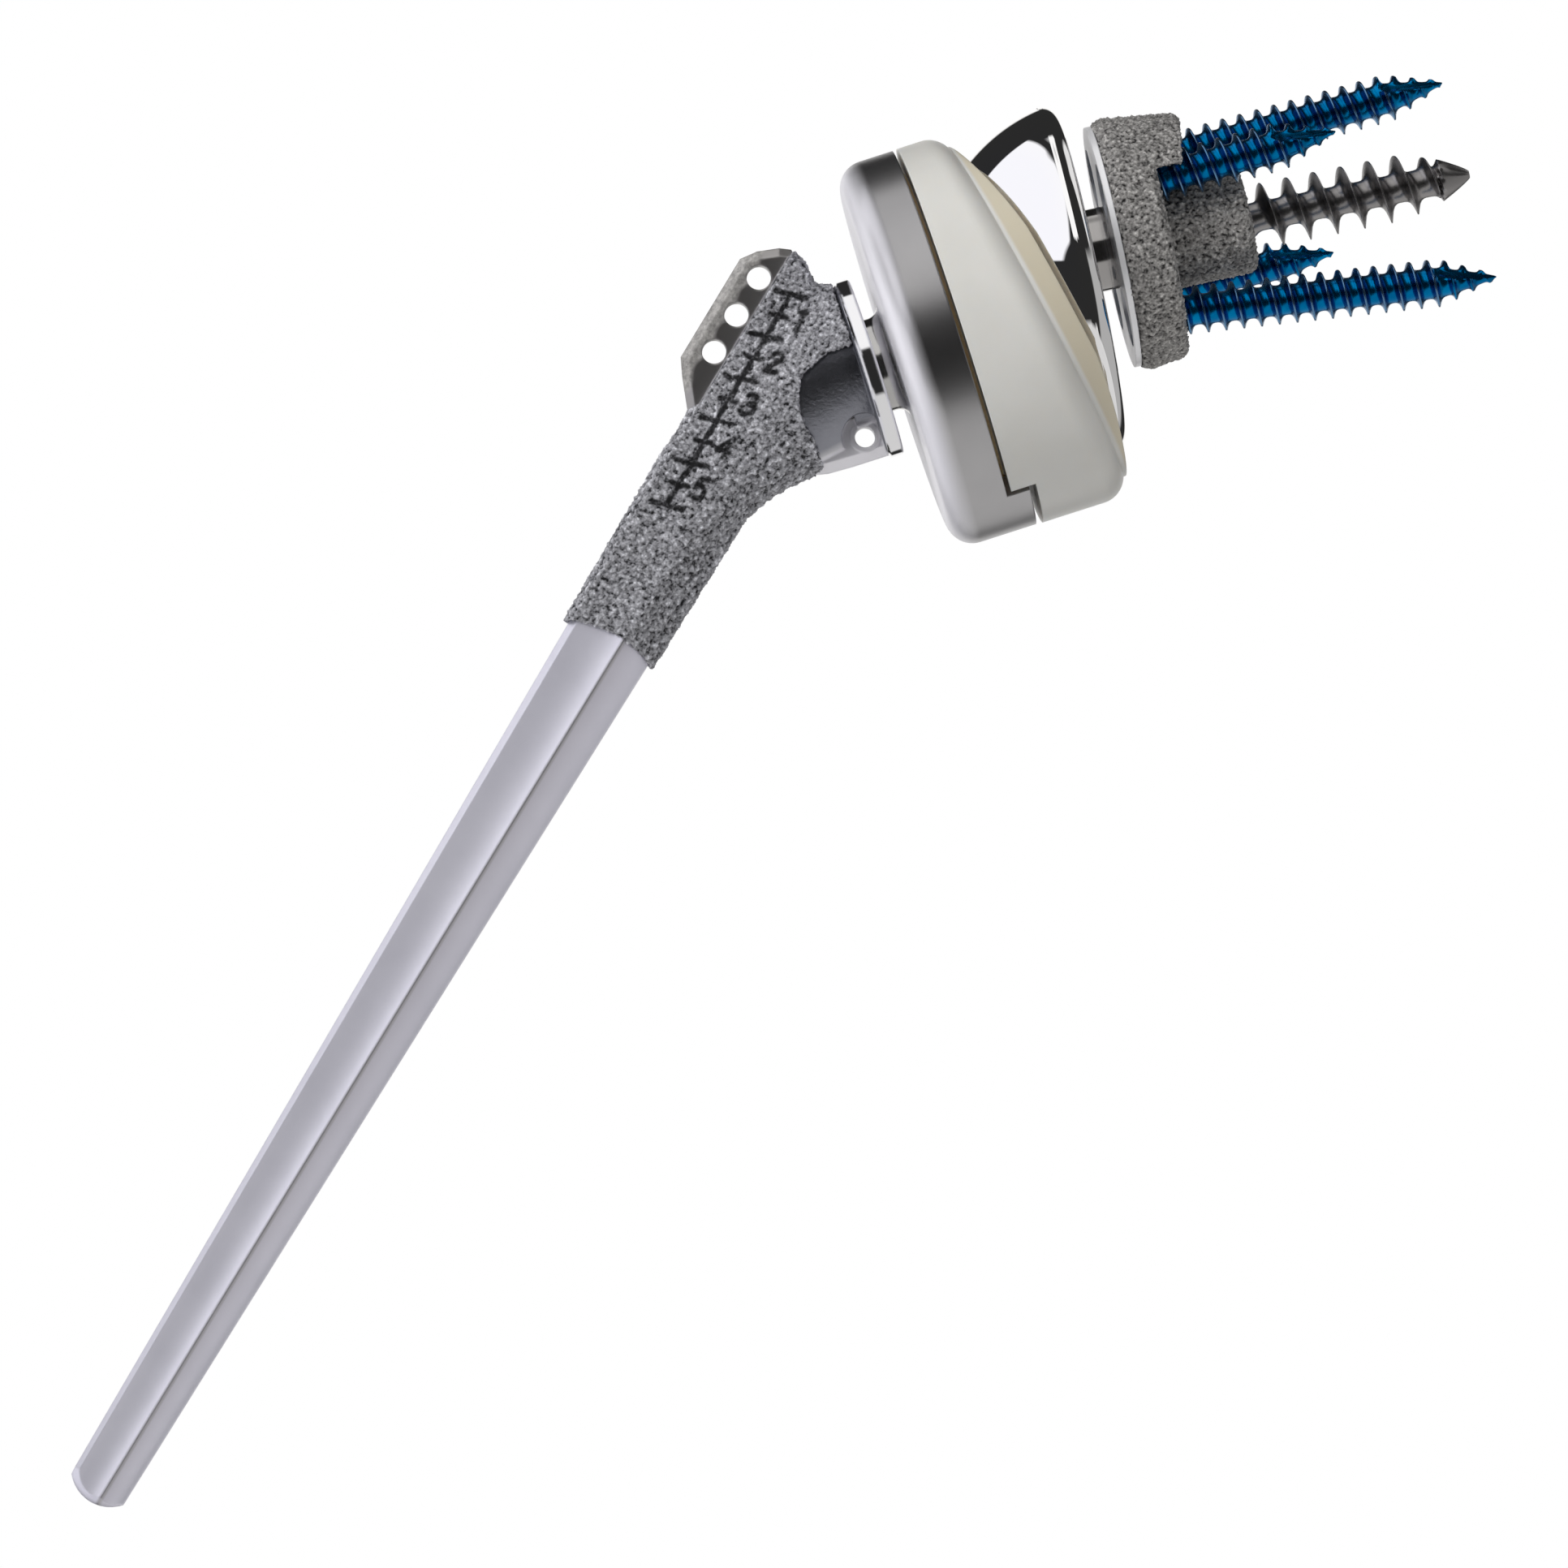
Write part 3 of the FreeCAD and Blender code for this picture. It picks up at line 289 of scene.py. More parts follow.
def stem_titanium():
    """One casting with its finishes: a pale blasted shaft, a speckled band on the fin and a polished
    collar; painted shade darkens the neck's sides, the shaft's crease and the root beside it, and a
    painted highlight brightens the ribs."""
    m = Nodes("stem_titanium")
    tones = STEM_TONES
    fine = m.noise(7000, 5, 0.62)
    cloud = m.noise(150, 4, 0.55)
    depth = m.along((0, 0, -1))
    left = m.along((-1, 0, 0))
    right = m.along((1, 0, 0))
    sideways = m.distance(m.along((0, 1, 0)))

    # Each mask is 1 where its finish, or its painted shade or highlight, is
    shaft = m.above(depth, SHAFT_FINISH, soft=3)
    collar = m.above(m.along(NECK_AXIS), COLLAR_START, soft=0.06)
    # painted shade: the neck's sides, away from its middle plane, are darkened
    shaded_cheeks = m.above(sideways, CHEEK_START, soft=1.2)
    # painted highlight: the rib under the neck, near its middle plane, is lightened and made less metallic
    lit_web = m.both(m.above(m.along(NECK_ACROSS), WEB_START, soft=0.6),
                 m.below(sideways, WEB_HALF, soft=0.5))
    lit_web = m.both(lit_web, m.off(shaft))
    fin = m.both(m.above(left, FIN_START, soft=0.3), m.above(m.along((0, 0, 1)), FIN_FOOT, soft=1))

    # The blasted band swings out between the suture holes
    swing = 2 * math.pi / SUTURE_PITCH
    wave = m.maths("SINE", m.maths("MULTIPLY_ADD", m.along((0, 0, 1)), swing,
                                   math.pi / 2 - swing * SUTURE_FIRST))
    edge_of_blast = m.maths("MULTIPLY_ADD", wave, BLAST_WAVE, left)
    blasted = m.both(fin, m.above(edge_of_blast, SUTURE_OFFSET + BLAST_MARGIN, soft=0.45))

    # Across the tapered shaft: two flutes, a crease between them with painted shade and more metal,
    # and painted shade on the root beside it
    half = m.maths("MULTIPLY_ADD", depth, -SHAFT_SLOPE, SHAFT_TIP_HALF + SHAFT_TIP * SHAFT_SLOPE)
    spot = m.maths("DIVIDE", right, half)
    flutes = [m.both(flute(m, spot, low, high), shaft)
              for low, high in ((-NEAR_EDGE, CREASE), (CREASE, 1.0))]
    from_crease = m.distance(m.maths("SUBTRACT", right, m.maths("MULTIPLY", half, CREASE)))
    # painted shade: a darker, more metallic line along the crease
    crease = m.both(shaft, m.below(from_crease, CREASE_HALF, soft=0.24))
    # painted shade: a darker band on the flute's root just beside the crease
    root = m.both(m.above(spot, CREASE + 0.02, soft=0.06), m.below(spot, CREASE + ROOT_WIDTH, soft=0.62))

    # painted shade on the neck's sides
    neck = m.mix(shaded_cheeks, tones["neck"], m.tones(cloud, 0.3, 0.7, tones["shaded_cheeks"]))
    # painted highlight on the rib
    neck = m.mix(lit_web, neck, tones["lit_web"])
    base = m.mix(shaft, neck, m.tones(cloud, 0.25, 0.75, tones["shaft"]))
    # painted shade beside the crease
    base = m.mix(m.maths("MULTIPLY", m.both(root, shaft), 0.55), base, tones["root"])
    # painted shade along the crease
    base = m.mix(crease, base, tones["crease"])
    base = m.mix(fin, base, tones["fin"])
    base = m.mix(blasted, base, m.tones(m.noise(1900, 5, 0.7), 0.38, 0.62, tones["speckle"]))
    base = m.mix(collar, base, tones["collar"])

    metal = m.shifted(1.0, shaft, -0.45)
    metal = m.shifted(metal, lit_web, -0.50)
    metal = m.shifted(metal, crease, 0.45)
    metal = m.shifted(metal, collar, 0.62)
    metal = m.shifted(metal, blasted, -0.45)
    rough = m.shifted(m.spread(fine, 0.31, 0.39), shaft, 0.06)
    rough = m.shifted(rough, blasted, 0.10)
    rough = m.shifted(rough, collar, -0.29)
    m.set(Base_Color=base, Metallic=metal, Roughness=rough)

    grain = m.both(fine, m.off(collar))
    bare = m.both(m.both(shaded_cheeks, m.off(shaft)), m.off(collar))
    sand = m.both(m.noise(2600, 4, 0.6), m.maths("ADD", blasted, bare, clamp=True))
    m.bump((flutes[0], 0.27, 1.0), (flutes[1], 0.26, 1.0), (grain, 0.012, 0.55), (cloud, 0.03, 0.12),
           (sand, 0.06, 0.8), edge=0.3)
    return m.material


def tray_titanium():
    """Fine blasted titanium with faint turning rings, a polished neck and a painted highlight on the
    rounded back, which is paler and less metallic.
    """
    m = Nodes("tray_titanium")
    fine = m.noise(8000, 4, 0.6)
    cloud = m.noise(130, 3)
    rings = m.noise(1800, 2, vector=m.stretched(NECK_ANGLE, 0.02))
    base = m.tones(cloud, 0.3, 0.7, ((0.425, 0.42, 0.43), (0.465, 0.46, 0.468)))
    reach = m.along(NECK_AXIS)
    # painted highlight: the rounded back, masked here, gets a pale lilac base and little metal
    back = m.below(reach, TRAY_BACK + TRAY_ROUND * 0.60, soft=2.0)
    neck = m.below(reach, TRAY_BACK - 0.1, soft=0.2)
    base = m.mix(back, base, (0.76, 0.75, 0.80))
    base = m.mix(neck, base, (0.46, 0.455, 0.45))
    metal = m.shifted(m.shifted(1.0, back, -0.84), neck, 0.84)
    rough = m.shifted(m.spread(fine, 0.27, 0.36), neck, -0.22)
    m.set(Base_Color=base, Metallic=metal, Roughness=rough)
    m.bump((rings, 0.008, 0.35), (fine, 0.012, 0.45), edge=0.25)
    return m.material


def polished(name, colour, roughness=0.05, rings=0.0, edge=0.0, metallic=1.0):
    """Bright metal; rings gives the depth of the fine turning lines about the head's axis."""
    m = Nodes(name)
    smudge = m.noise(180, 4, 0.55)
    m.set(Base_Color=colour, Metallic=metallic,
          Roughness=m.spread(smudge, roughness * 0.6, roughness * 1.5))
    layers = [(m.noise(900, 2), 0.0012, 0.1)]
    if rings:
        layers.append((m.noise(2600, 3, vector=m.stretched(GLENOID_ANGLE, 0.01)), rings, 0.5))
    m.bump(*layers, edge=edge)
    return m.material


INK = (0.006, 0.006, 0.007)


def porous(name, dark, middle, light, ink=False):
    """A sprayed coat whose tone follows how far each point stands out: painted shade in the pits, grey
    grains and painted highlights on the raised facets.
    """
    m = Nodes(name)
    relief = m.attribute("relief")
    grain = m.noise(4200, 5, 0.65)
    facets = m.voronoi(2600)
    height = m.maths("ADD", m.maths("MULTIPLY", relief, 0.42), m.maths("MULTIPLY", grain, 0.66))
    height = m.maths("SUBTRACT", height, m.maths("MULTIPLY", facets, 0.16))
    # The ramp paints shade in the low pits and a highlight, up to a glint, on the high grains
    painted_glint = tuple(c * 1.7 for c in light)
    base = m.ramp(height, (0.30, dark), (0.40, middle), (0.56, light), (0.66, painted_glint))
    if ink:
        worn = m.spread(m.noise(2600, 3), 0.0, 0.38, 0.50, 0.78)
        held = m.maths("SUBTRACT", m.attribute("ink"), worn, clamp=True)
        base = m.mix(held, base, INK)
    m.set(Base_Color=base, Metallic=0.30, Roughness=m.spread(grain, 0.30, 0.50))
    m.bump((grain, 0.09, 0.8), (facets, 0.10, 0.6))
    return m.material


def polyethylene():
    """Translucent cream plastic, with a painted amber glow in the shaded gap over the tray and painted
    warm shade on the cup's rim.
    """
    m = Nodes("liner_polyethylene")
    cloud = m.noise(90, 3)
    base = m.tones(cloud, 0.3, 0.7, ((0.590, 0.582, 0.550), (0.635, 0.628, 0.600)))
    # painted shade: the rim standing above the cup's face is tinted a darker warm beige
    shaded_lip = m.above(m.along(FACE_AXIS, CUP_SPOT), 0.15 - FACE_DEPTH, 0.3)
    base = m.mix(shaded_lip, base, (0.56, 0.51, 0.40))
    # painted light: the shaded gap over the tray is coloured a bright amber, standing in for light glowing
    # through the plastic
    gap = m.below(m.along(NECK_AXIS), TRAY_RIM + 0.42, soft=0.1)
    base = m.mix(gap, base, (0.88, 0.68, 0.34))
    rings = m.noise(1500, 3, vector=m.stretched(NECK_ANGLE, 0.05))
    m.set(Base_Color=base, Roughness=m.spread(rings, 0.30, 0.42), IOR=1.5)
    m.set(Subsurface_Weight=0.35, Subsurface_Radius=(0.004, 0.0032, 0.0024), Subsurface_Scale=0.7)
    m.bump((rings, 0.004, 0.25), edge=0.2)
    return m.material


def anodised():
    """Blue anodised titanium, paler grey-blue on the thread's crests."""
    m = Nodes("anodised_blue")
    cloud = m.noise(500, 3)
    base = m.tones(cloud, 0.3, 0.7, ((0.0, 0.13, 0.34), (0.0, 0.22, 0.50)))
    crest = m.above(m.attribute("crest"), 0.86, 0.2)
    base = m.mix(m.maths("MULTIPLY", crest, 0.6), base, (0.20, 0.30, 0.42))
    fine = m.noise(6000, 3)
    m.set(Base_Color=base, Metallic=1.0, Roughness=m.spread(fine, 0.20, 0.34))
    m.bump((fine, 0.006, 0.3), (cloud, 0.03, 0.15))
    return m.material


# Each coat's tones, low to high: painted shade for the pits, the grains' grey, a painted highlight for the
# tops
STEM_GREYS = ((0.012, 0.012, 0.014), (0.20, 0.20, 0.215), (0.45, 0.45, 0.48))
PLATE_GREYS = ((0.014, 0.013, 0.013), (0.19, 0.184, 0.178), (0.40, 0.388, 0.376))
MATERIALS = {
    "stem": stem_titanium(),
    "tray": tray_titanium(),
    "locking_ring": satin("ring_wire", (0.50, 0.44, 0.30), 0.35),
    "liner": polyethylene(),
    "glenosphere": polished("cobalt_mirror", (0.90, 0.90, 0.91), 0.015),
    "taper_adaptor": polished("adaptor_polish", (0.36, 0.35, 0.345), 0.11, rings=0.01, edge=0.15),
    "baseplate": polished("baseplate_turned", (0.90, 0.90, 0.92), 0.34, rings=0.004, edge=0.15,
                          metallic=0.35),
    "stem_coating": porous("stem_coat_grain", *STEM_GREYS, ink=True),
    "baseplate_coating": porous("plate_coat_grain", *PLATE_GREYS),
    "central_screw": satin("screw_titanium", (0.33, 0.32, 0.32), 0.33, edge=0.1),
    "locking_screw": anodised(),
}


def piece(name, mesh, body, slot, *nodes, sharp=None):
    """Links a finished mesh, gives it its slot's material and rides it on its body. Edges over the
    sharp angle, in degrees, stay sharp."""
    thing = bpy.data.objects.new(name, mesh)
    bpy.context.scene.collection.objects.link(thing)
    mesh.materials.clear()
    mesh.materials.append(MATERIALS[slot])
    mesh.shade_smooth()
    if sharp:
        mesh.set_sharp_from_angle(angle=math.radians(sharp))
    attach(thing, body)
    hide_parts(*nodes)


def mesh_of(name, points, faces, place=None):
    """A mesh from millimetre points, cleaned of doubled points and empty faces."""
    mesh = bpy.data.meshes.new(name)
    mesh.from_pydata([tuple(p) for p in np.asarray(points) * MM], [], faces)
    work = bmesh.new()
    work.from_mesh(mesh)
    bmesh.ops.remove_doubles(work, verts=work.verts, dist=2e-6)
    bmesh.ops.dissolve_degenerate(work, edges=work.edges, dist=1e-6)
    bmesh.ops.recalc_face_normals(work, faces=work.faces)
    work.to_mesh(mesh)
    work.free()
    if place:
        mesh.transform(place)
    mesh.update()
    return mesh


def ring_faces(rows, count):
    """The faces between rings of count points that follow one another, each ring closed."""
    faces = []
    for low in range(0, (rows - 1) * count, count):
        high = low + count
        for i in range(count):
            j = (i + 1) % count
            faces.append((low + i, low + j, high + j, high + i))
    return faces


def ring(radii, height, angle):
    """The points of one ring about the height axis."""
    return np.column_stack((radii * np.cos(angle), radii * np.sin(angle), height))


def lathe(name, profile, place, steps=192):
    """Turns a profile of (radius, height) about its height axis. An end at radius 0 closes to a point."""
    angle = np.linspace(0, 2 * math.pi, steps, endpoint=False)
    points = np.concatenate([ring(radius, np.full(steps, height), angle) for radius, height in profile])
    return mesh_of(name, points, ring_faces(len(profile), steps), place)


def arc(centre, radius, start, end, steps=24):
    """Points of an arc in a profile; angles in degrees from the radius axis."""
    return [(centre[0] + radius * math.cos(turn), centre[1] + radius * math.sin(turn))
            for turn in np.radians(np.linspace(start, end, steps))]


HEX_STEP = math.radians(60)

# Ends of the threads, in mm: the point's radius and the stretch before it where the ridge runs out
TIP_RADIUS = 0.06
RUN_OUT = 0.35
# Shares: of the pitch over which the ridge grows, of the ridge's height left at the tip, of the
# taper over which the ridge falls, with and without an arrow's cone, and the power that bulges it
RUN_IN = 0.6
CREST_AT_TIP = 0.10
CREST_TAPER = 1.1
ARROW_TAPER = 0.8
ARROW_BLUNT = 6
BULGE = 0.85
# The cutting flutes, in turns, and the mm over which they end
FLUTE_TURN = 0.09
FLUTE_TWIST = 0.15
FLUTE_HALF = 0.16
FLUTE_WALL = 4
FLUTE_END = 1.2


def head_ring(shape, radius, height, angle):
    """One ring of a screw's head, round or six-sided."""
    radii = np.full(len(angle), radius)
    if shape == "hex":
        radii = radius * math.cos(HEX_STEP / 2) / np.cos(np.mod(angle, HEX_STEP) - HEX_STEP / 2)
    return ring(radii, np.full(len(angle), height), angle)


def thread_radius(thread, angle, z, high):
    """The thread's radius round one row: its core, its ridge, the pointed end and the cutting flutes."""
    left = thread["tip"] - z
    share = np.clip(left / thread["taper"], 0, 1)
    core = TIP_RADIUS + (thread["core"] - TIP_RADIUS) * share ** BULGE
    rise = np.clip(CREST_AT_TIP + left / (thread["taper"] * CREST_TAPER), 0, 1)
    crest = TIP_RADIUS + (thread["crest"] - TIP_RADIUS) * rise
    if thread["arrow"]:
        base, length = thread["arrow"]
        blunt = TIP_RADIUS * ARROW_BLUNT
        cone = blunt + (base - blunt) * np.clip(left / length, 0, 1) ** BULGE
        on_cone = np.clip((length - left) / RUN_OUT, 0, 1)
        core = thread["core"] * (1 - on_cone) + cone * on_cone
        rise = np.clip((left - length) / (thread["taper"] * ARROW_TAPER), 0, 1)
        crest = np.where(left < length, core, base + (thread["crest"] - base) * rise)
    crest = np.where(left < RUN_OUT, TIP_RADIUS + (crest - TIP_RADIUS) * left / RUN_OUT, crest)
    grow = np.clip((z - thread["start"]) / (thread["pitch"] * RUN_IN), 0, 1)
    radius = core + (np.maximum(crest, core) - core) * high * grow
    turn = angle * thread["flutes"] / (2 * math.pi) + FLUTE_TURN + FLUTE_TWIST * left / thread["flute"]
    inside = np.clip(1 - np.abs(np.mod(turn, 1.0) - 0.5) / FLUTE_HALF, 0, 1)
    inside = inside * np.clip((thread["flute"] - left) / FLUTE_END, 0, 1)
    floor_radius = core * (1 - thread["cut"] * inside)
    cut = floor_radius + (radius - floor_radius) * (1 - np.minimum(inside * FLUTE_WALL, 1))
    return np.where(inside > 0, np.minimum(radius, cut), radius)


def screw_mesh(name, place, head, thread, steps=72):
    """A screw down its own Z: head rings of (shape, radius, height), then one helicoidal strip whose
    ends are drawn level. The ridge is its profile as (share of the pitch, share of the height)."""
    angle = np.linspace(0, 2 * math.pi, steps, endpoint=False)
    rings = [head_ring(shape, radius, height, angle) for shape, radius, height in head]
    pitch = thread["pitch"]
    turns = int(math.ceil((thread["tip"] - thread["start"]) / pitch)) + 3
    strip = []
    for turn in range(turns):
        for share, high in thread["ridge"]:
            z = thread["start"] + (turn - 2 + share + angle / (2 * math.pi)) * pitch + thread["phase"]
            z = np.clip(z, thread["start"], thread["tip"])
            strip.append(ring(thread_radius(thread, angle, z, high), z, angle))
    faces = ring_faces(len(rings), steps)

    # The strip's seam joins each row to the row one turn on
    base = len(rings) * steps
    per_turn = len(thread["ridge"])
    for row in range(len(strip) - 1):
        for i in range(steps):
            a = base + row * steps + i
            d = a + steps
            if i < steps - 1:
                faces.append((a, a + 1, d + 1, d))
            elif row + 1 + per_turn < len(strip):
                b = base + (row + per_turn) * steps
                faces.append((a, b, b + steps, d))

    # The head's last ring meets the strip's first row
    last_ring = base - steps
    for i in range(steps):
        j = (i + 1) % steps
        beside = base + j + (per_turn * steps if j == 0 else 0)
        faces.append((last_ring + i, last_ring + j, beside, base + i))
    mesh = mesh_of(name, np.concatenate(rings + strip), faces)
    spots = np.empty(len(mesh.vertices) * 3)
    mesh.vertices.foreach_get("co", spots)
    spots = spots.reshape(-1, 3) / MM
    reach = (np.hypot(spots[:, 0], spots[:, 1]) - thread["core"]) / (thread["crest"] - thread["core"])
    crest = np.where(spots[:, 2] > thread["start"] + 0.5, reach, 0.0)
    mesh.attributes.new("crest", "FLOAT", "POINT").data.foreach_set("value", crest.astype(np.float32))
    mesh.transform(place)
    return mesh


def grain_mesh(node, voxel, grains, sink):
    """The node's solid, remeshed finely, with its grains pushed out along their normals and the whole
    skin sunk a little, all in mm. How far each point stands out is kept as the relief, 0 to 1."""
    source = bpy.data.objects.new("grain_source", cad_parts[node].data.copy())
    bpy.context.scene.collection.objects.link(source)
    remesh = source.modifiers.new("remesh", "REMESH")
    remesh.mode = "VOXEL"
    remesh.voxel_size = voxel * MM
    remesh.adaptivity = 0.0
    bpy.context.view_layer.update()
    mesh = bpy.data.meshes.new_from_object(source.evaluated_get(bpy.context.evaluated_depsgraph_get()))
    bpy.data.objects.remove(source)
    count = len(mesh.vertices)
    place = np.empty(count * 3)
    mesh.vertices.foreach_get("co", place)
    place = place.reshape(-1, 3) / MM
    normal = np.empty(count * 3)
    mesh.vertices.foreach_get("normal", normal)
    normal = normal.reshape(-1, 3)
    push = np.zeros(count)
    for size_mm, height in grains:
        push += height * np.array([noise.noise(Vector(spot) / size_mm) for spot in place])
    most = sum(height for _, height in grains) * 0.6
    relief = np.clip(0.5 + push / (2 * most), 0, 1)
    mesh.attributes.new("relief", "FLOAT", "POINT").data.foreach_set("value", relief.astype(np.float32))
    mesh.vertices.foreach_set("co", ((place + normal * (push - sink)[:, None]) * MM).ravel())
    mesh.update()
    return mesh, place, normal


STROKE_EDGE = 0.08


def stroke_mask(points, strokes, half_width):
    """How far each 2-D point lies inside the nearest stroke: 1 on it, 0 off it."""
    nearest = np.full(len(points), 1e9)
    for stroke in strokes:
        for (x0, z0), (x1, z1) in zip(stroke[:-1], stroke[1:]):
            along = np.array([x1 - x0, z1 - z0])
            length = along @ along
            passed = (points[:, 0] - x0) * along[0] + (points[:, 1] - z0) * along[1]
            share = np.clip(passed / length, 0, 1)
            gap = np.hypot(points[:, 0] - x0 - share * along[0], points[:, 1] - z0 - share * along[1])
            nearest = np.minimum(nearest, gap)
    return np.clip((half_width + STROKE_EDGE - nearest) / (2 * STROKE_EDGE), 0, 1)


# The camera looks along +Y, rolled so that the stem lies as in the photograph
RIGHT = Vector((0.8557, 0, 0.5175))
UP = Vector((-0.5175, 0, 0.8557))
NEARER = Vector((0, -1, 0))
FRAME_WIDTH = 154.56
DISTANCE = 720.0
VIEW_CENTRE = (21.92, -30.30)
SENSOR = 36.0
camera_data = bpy.data.cameras.new("camera")
camera = bpy.data.objects.new("camera", camera_data)
bpy.context.scene.collection.objects.link(camera)
camera.matrix_world = Matrix((
    (RIGHT.x, UP.x, 0, VIEW_CENTRE[0] * MM),
    (RIGHT.y, UP.y, -1, -DISTANCE * MM),
    (RIGHT.z, UP.z, 0, VIEW_CENTRE[1] * MM),
    (0, 0, 0, 1)))
camera_data.sensor_width = SENSOR
camera_data.lens = SENSOR * DISTANCE / FRAME_WIDTH
camera_data.clip_start = 0.01
camera_data.clip_end = 10.0
bpy.context.scene.camera = camera


PLAIN_LIGHT = 0.48
DARK_CARD = 0.025
COOL_LIGHT = (0.965, 0.960, 1.0, 1)
WARM_LIGHT = (1.0, 0.990, 0.975, 1)

# What the metal mirrors, as boxes of light round the part: the strength, the limits to the right,
# upward and nearer, as shares of the unit direction, and the width of the soft border
WIDE = (-1.10, 1.10)
LIGHT_BOXES = {
    "left": (1.05, (-0.86, -0.43), (0.08, 0.90), (-0.45, 0.86), 0.02),
    "top": (1.05, (-0.36, 0.04), (0.37, 0.99), (-0.30, 1.10), 0.05),
    "below": (0.70, WIDE, (-1.10, -0.57), WIDE, 0.06),
    "low left": (0.75, (-1.10, -0.50), (-0.57, 0.02), (-1.10, 0.60), 0.10),
    "right": (0.42, (0.45, 1.10), (-0.57, 0.35), (-0.70, 0.62), 0.10),
    "rims": (0.80, (0.48, 1.10), (0.37, 0.80), (-0.92, -0.08), 0.05),
    "behind": (1.00, WIDE, WIDE, (-1.10, -0.93), 0.03),
}
WARM_FROM = -0.40
WARM_BORDER = 0.3


def world_of_light():
    """White to the camera, and to the metal a studio of white boxes between dark cards, which stands
    still when the camera moves. The light is cooler on the left."""
    world = bpy.data.worlds.new("studio")
    bpy.context.scene.world = world
    world.use_nodes = True
    world.node_tree.nodes.clear()
    t = Tree(world.node_tree)
    ray = t.add("ShaderNodeTexCoord").outputs["Generated"]
    path = t.add("ShaderNodeLightPath")

    def towards(vector):
        node = t.add("ShaderNodeVectorMath", operation="DOT_PRODUCT")
        t.link(ray, node, 0)
        node.inputs[1].default_value = vector
        return node.outputs["Value"]

    def step(value, edge, soft):
        """0 below the edge, 1 above it, over a soft border."""
        height = t.maths("MULTIPLY", t.maths("SUBTRACT", value, edge), 1 / soft)
        return t.maths("ADD", height, 0.5, clamp=True)

    def inside(value, low, high, soft):
        under_high = t.maths("SUBTRACT", 1.0, step(value, high, soft))
        return t.maths("MULTIPLY", step(value, low, soft), under_high)

    def choose(test, first, second):
        """The first value where the ray is of the tested kind, and the second elsewhere."""
        kept = t.maths("MULTIPLY", t.maths("SUBTRACT", 1.0, path.outputs[test]), second)
        return t.maths("ADD", t.maths("MULTIPLY", path.outputs[test], first), kept)

    axes = towards(RIGHT), towards(UP), towards(NEARER)
    glossy = DARK_CARD
    for strength, *sides, soft in LIGHT_BOXES.values():
        shape = strength
        for value, (low, high) in zip(axes, sides):
            shape = t.maths("MULTIPLY", inside(value, low, high, soft), shape)
        glossy = t.maths("ADD", shape, glossy)

    strength = choose("Is Glossy Ray", glossy, PLAIN_LIGHT)
    shown = choose("Is Transmission Ray", 1.0, choose("Is Camera Ray", 1.0, strength))
    is_glossy = path.outputs["Is Glossy Ray"]
    tint = t.add("ShaderNodeMix", data_type="RGBA")
    t.link(t.maths("MULTIPLY", is_glossy, step(axes[0], WARM_FROM, WARM_BORDER)), tint, "Factor")
    tint.inputs[6].default_value = COOL_LIGHT
    tint.inputs[7].default_value = WARM_LIGHT
    colour = t.add("ShaderNodeMix", data_type="RGBA")
    t.link(is_glossy, colour, "Factor")
    colour.inputs[6].default_value = (1, 1, 1, 1)
    t.link(tint.outputs[2], colour, 7)
    background = t.add("ShaderNodeBackground")
    t.link(colour.outputs[2], background, "Color")
    t.link(shown, background, "Strength")
    t.link(background.outputs[0], t.add("ShaderNodeOutputWorld"), "Surface")


LAMP_SIDE = 300


def softbox(name, centre, power):
    """A square area lamp that looks at the view's centre. Its place is given along the camera's
    right, up and near axes, in mm."""
    lamp = bpy.data.lights.new(name, "AREA")
    lamp.shape = "SQUARE"
    lamp.size = LAMP_SIDE * MM
    lamp.energy = power
    thing = bpy.data.objects.new(name, lamp)
    bpy.context.scene.collection.objects.link(thing)
    target = Vector((VIEW_CENTRE[0] * MM, 0, VIEW_CENTRE[1] * MM))
    spot = target + (RIGHT * centre[0] + UP * centre[1] + NEARER * centre[2]) * MM
    aim = (target - spot).to_track_quat("-Z", "Y").to_matrix().to_4x4()
    thing.matrix_world = Matrix.Translation(spot) @ aim
    thing.visible_camera = False
    thing.visible_glossy = False


world_of_light()
softbox("key", (-420, 330, 420), 3.0)
softbox("fill", (350, -200, 400), 0.3)
bpy.context.scene.view_settings.view_transform = "Standard"

FLOOR_HALF = 900
FLOOR_LEVEL = -127.0
floor_mesh = mesh_of("floor", [(x * FLOOR_HALF, y * FLOOR_HALF, FLOOR_LEVEL)
                               for x, y in ((-1, -1), (1, -1), (1, 1), (-1, 1))], [(0, 1, 2, 3)])
floor = bpy.data.objects.new("floor", floor_mesh)
bpy.context.scene.collection.objects.link(floor)
pale = Nodes("floor_pale")
pale.set(Base_Color=(0.9, 0.9, 0.9), Roughness=0.9)
lit = pale.add("ShaderNodeEmission")
chosen = pale.add("ShaderNodeMixShader")
seen = pale.add("ShaderNodeLightPath")
pale.link(seen.outputs["Is Camera Ray"], chosen, 0)
pale.link(pale.shader.outputs[0], chosen, 1)
pale.link(lit.outputs[0], chosen, 2)
pale.link(chosen.outputs[0], pale.tree.nodes["Material Output"], "Surface")
floor_mesh.materials.append(pale.material)
floor.visible_glossy = False

# CAD nodes that stay get their finish, and a soft edge
SHARP_CAD = 28
for node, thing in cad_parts.items():
    slot = "locking_screw" if node.startswith("screw_") else node
    thing.data.materials.clear()
    thing.data.materials.append(MATERIALS[slot])
    thing.data.shade_smooth()
    thing.data.set_sharp_from_angle(angle=math.radians(SHARP_CAD))

# The coats: the mesh's fineness, layers of grains as (size, height) and how far the skin is sunk
VOXEL = 0.185
STEM_GRAINS = ((0.44, 0.26), (0.23, 0.17))
PLATE_GRAINS = ((0.36, 0.22), (0.20, 0.16))
SINK = 0.09
stem_coat, spots, facing = grain_mesh("stem_coating", VOXEL, STEM_GRAINS, SINK)

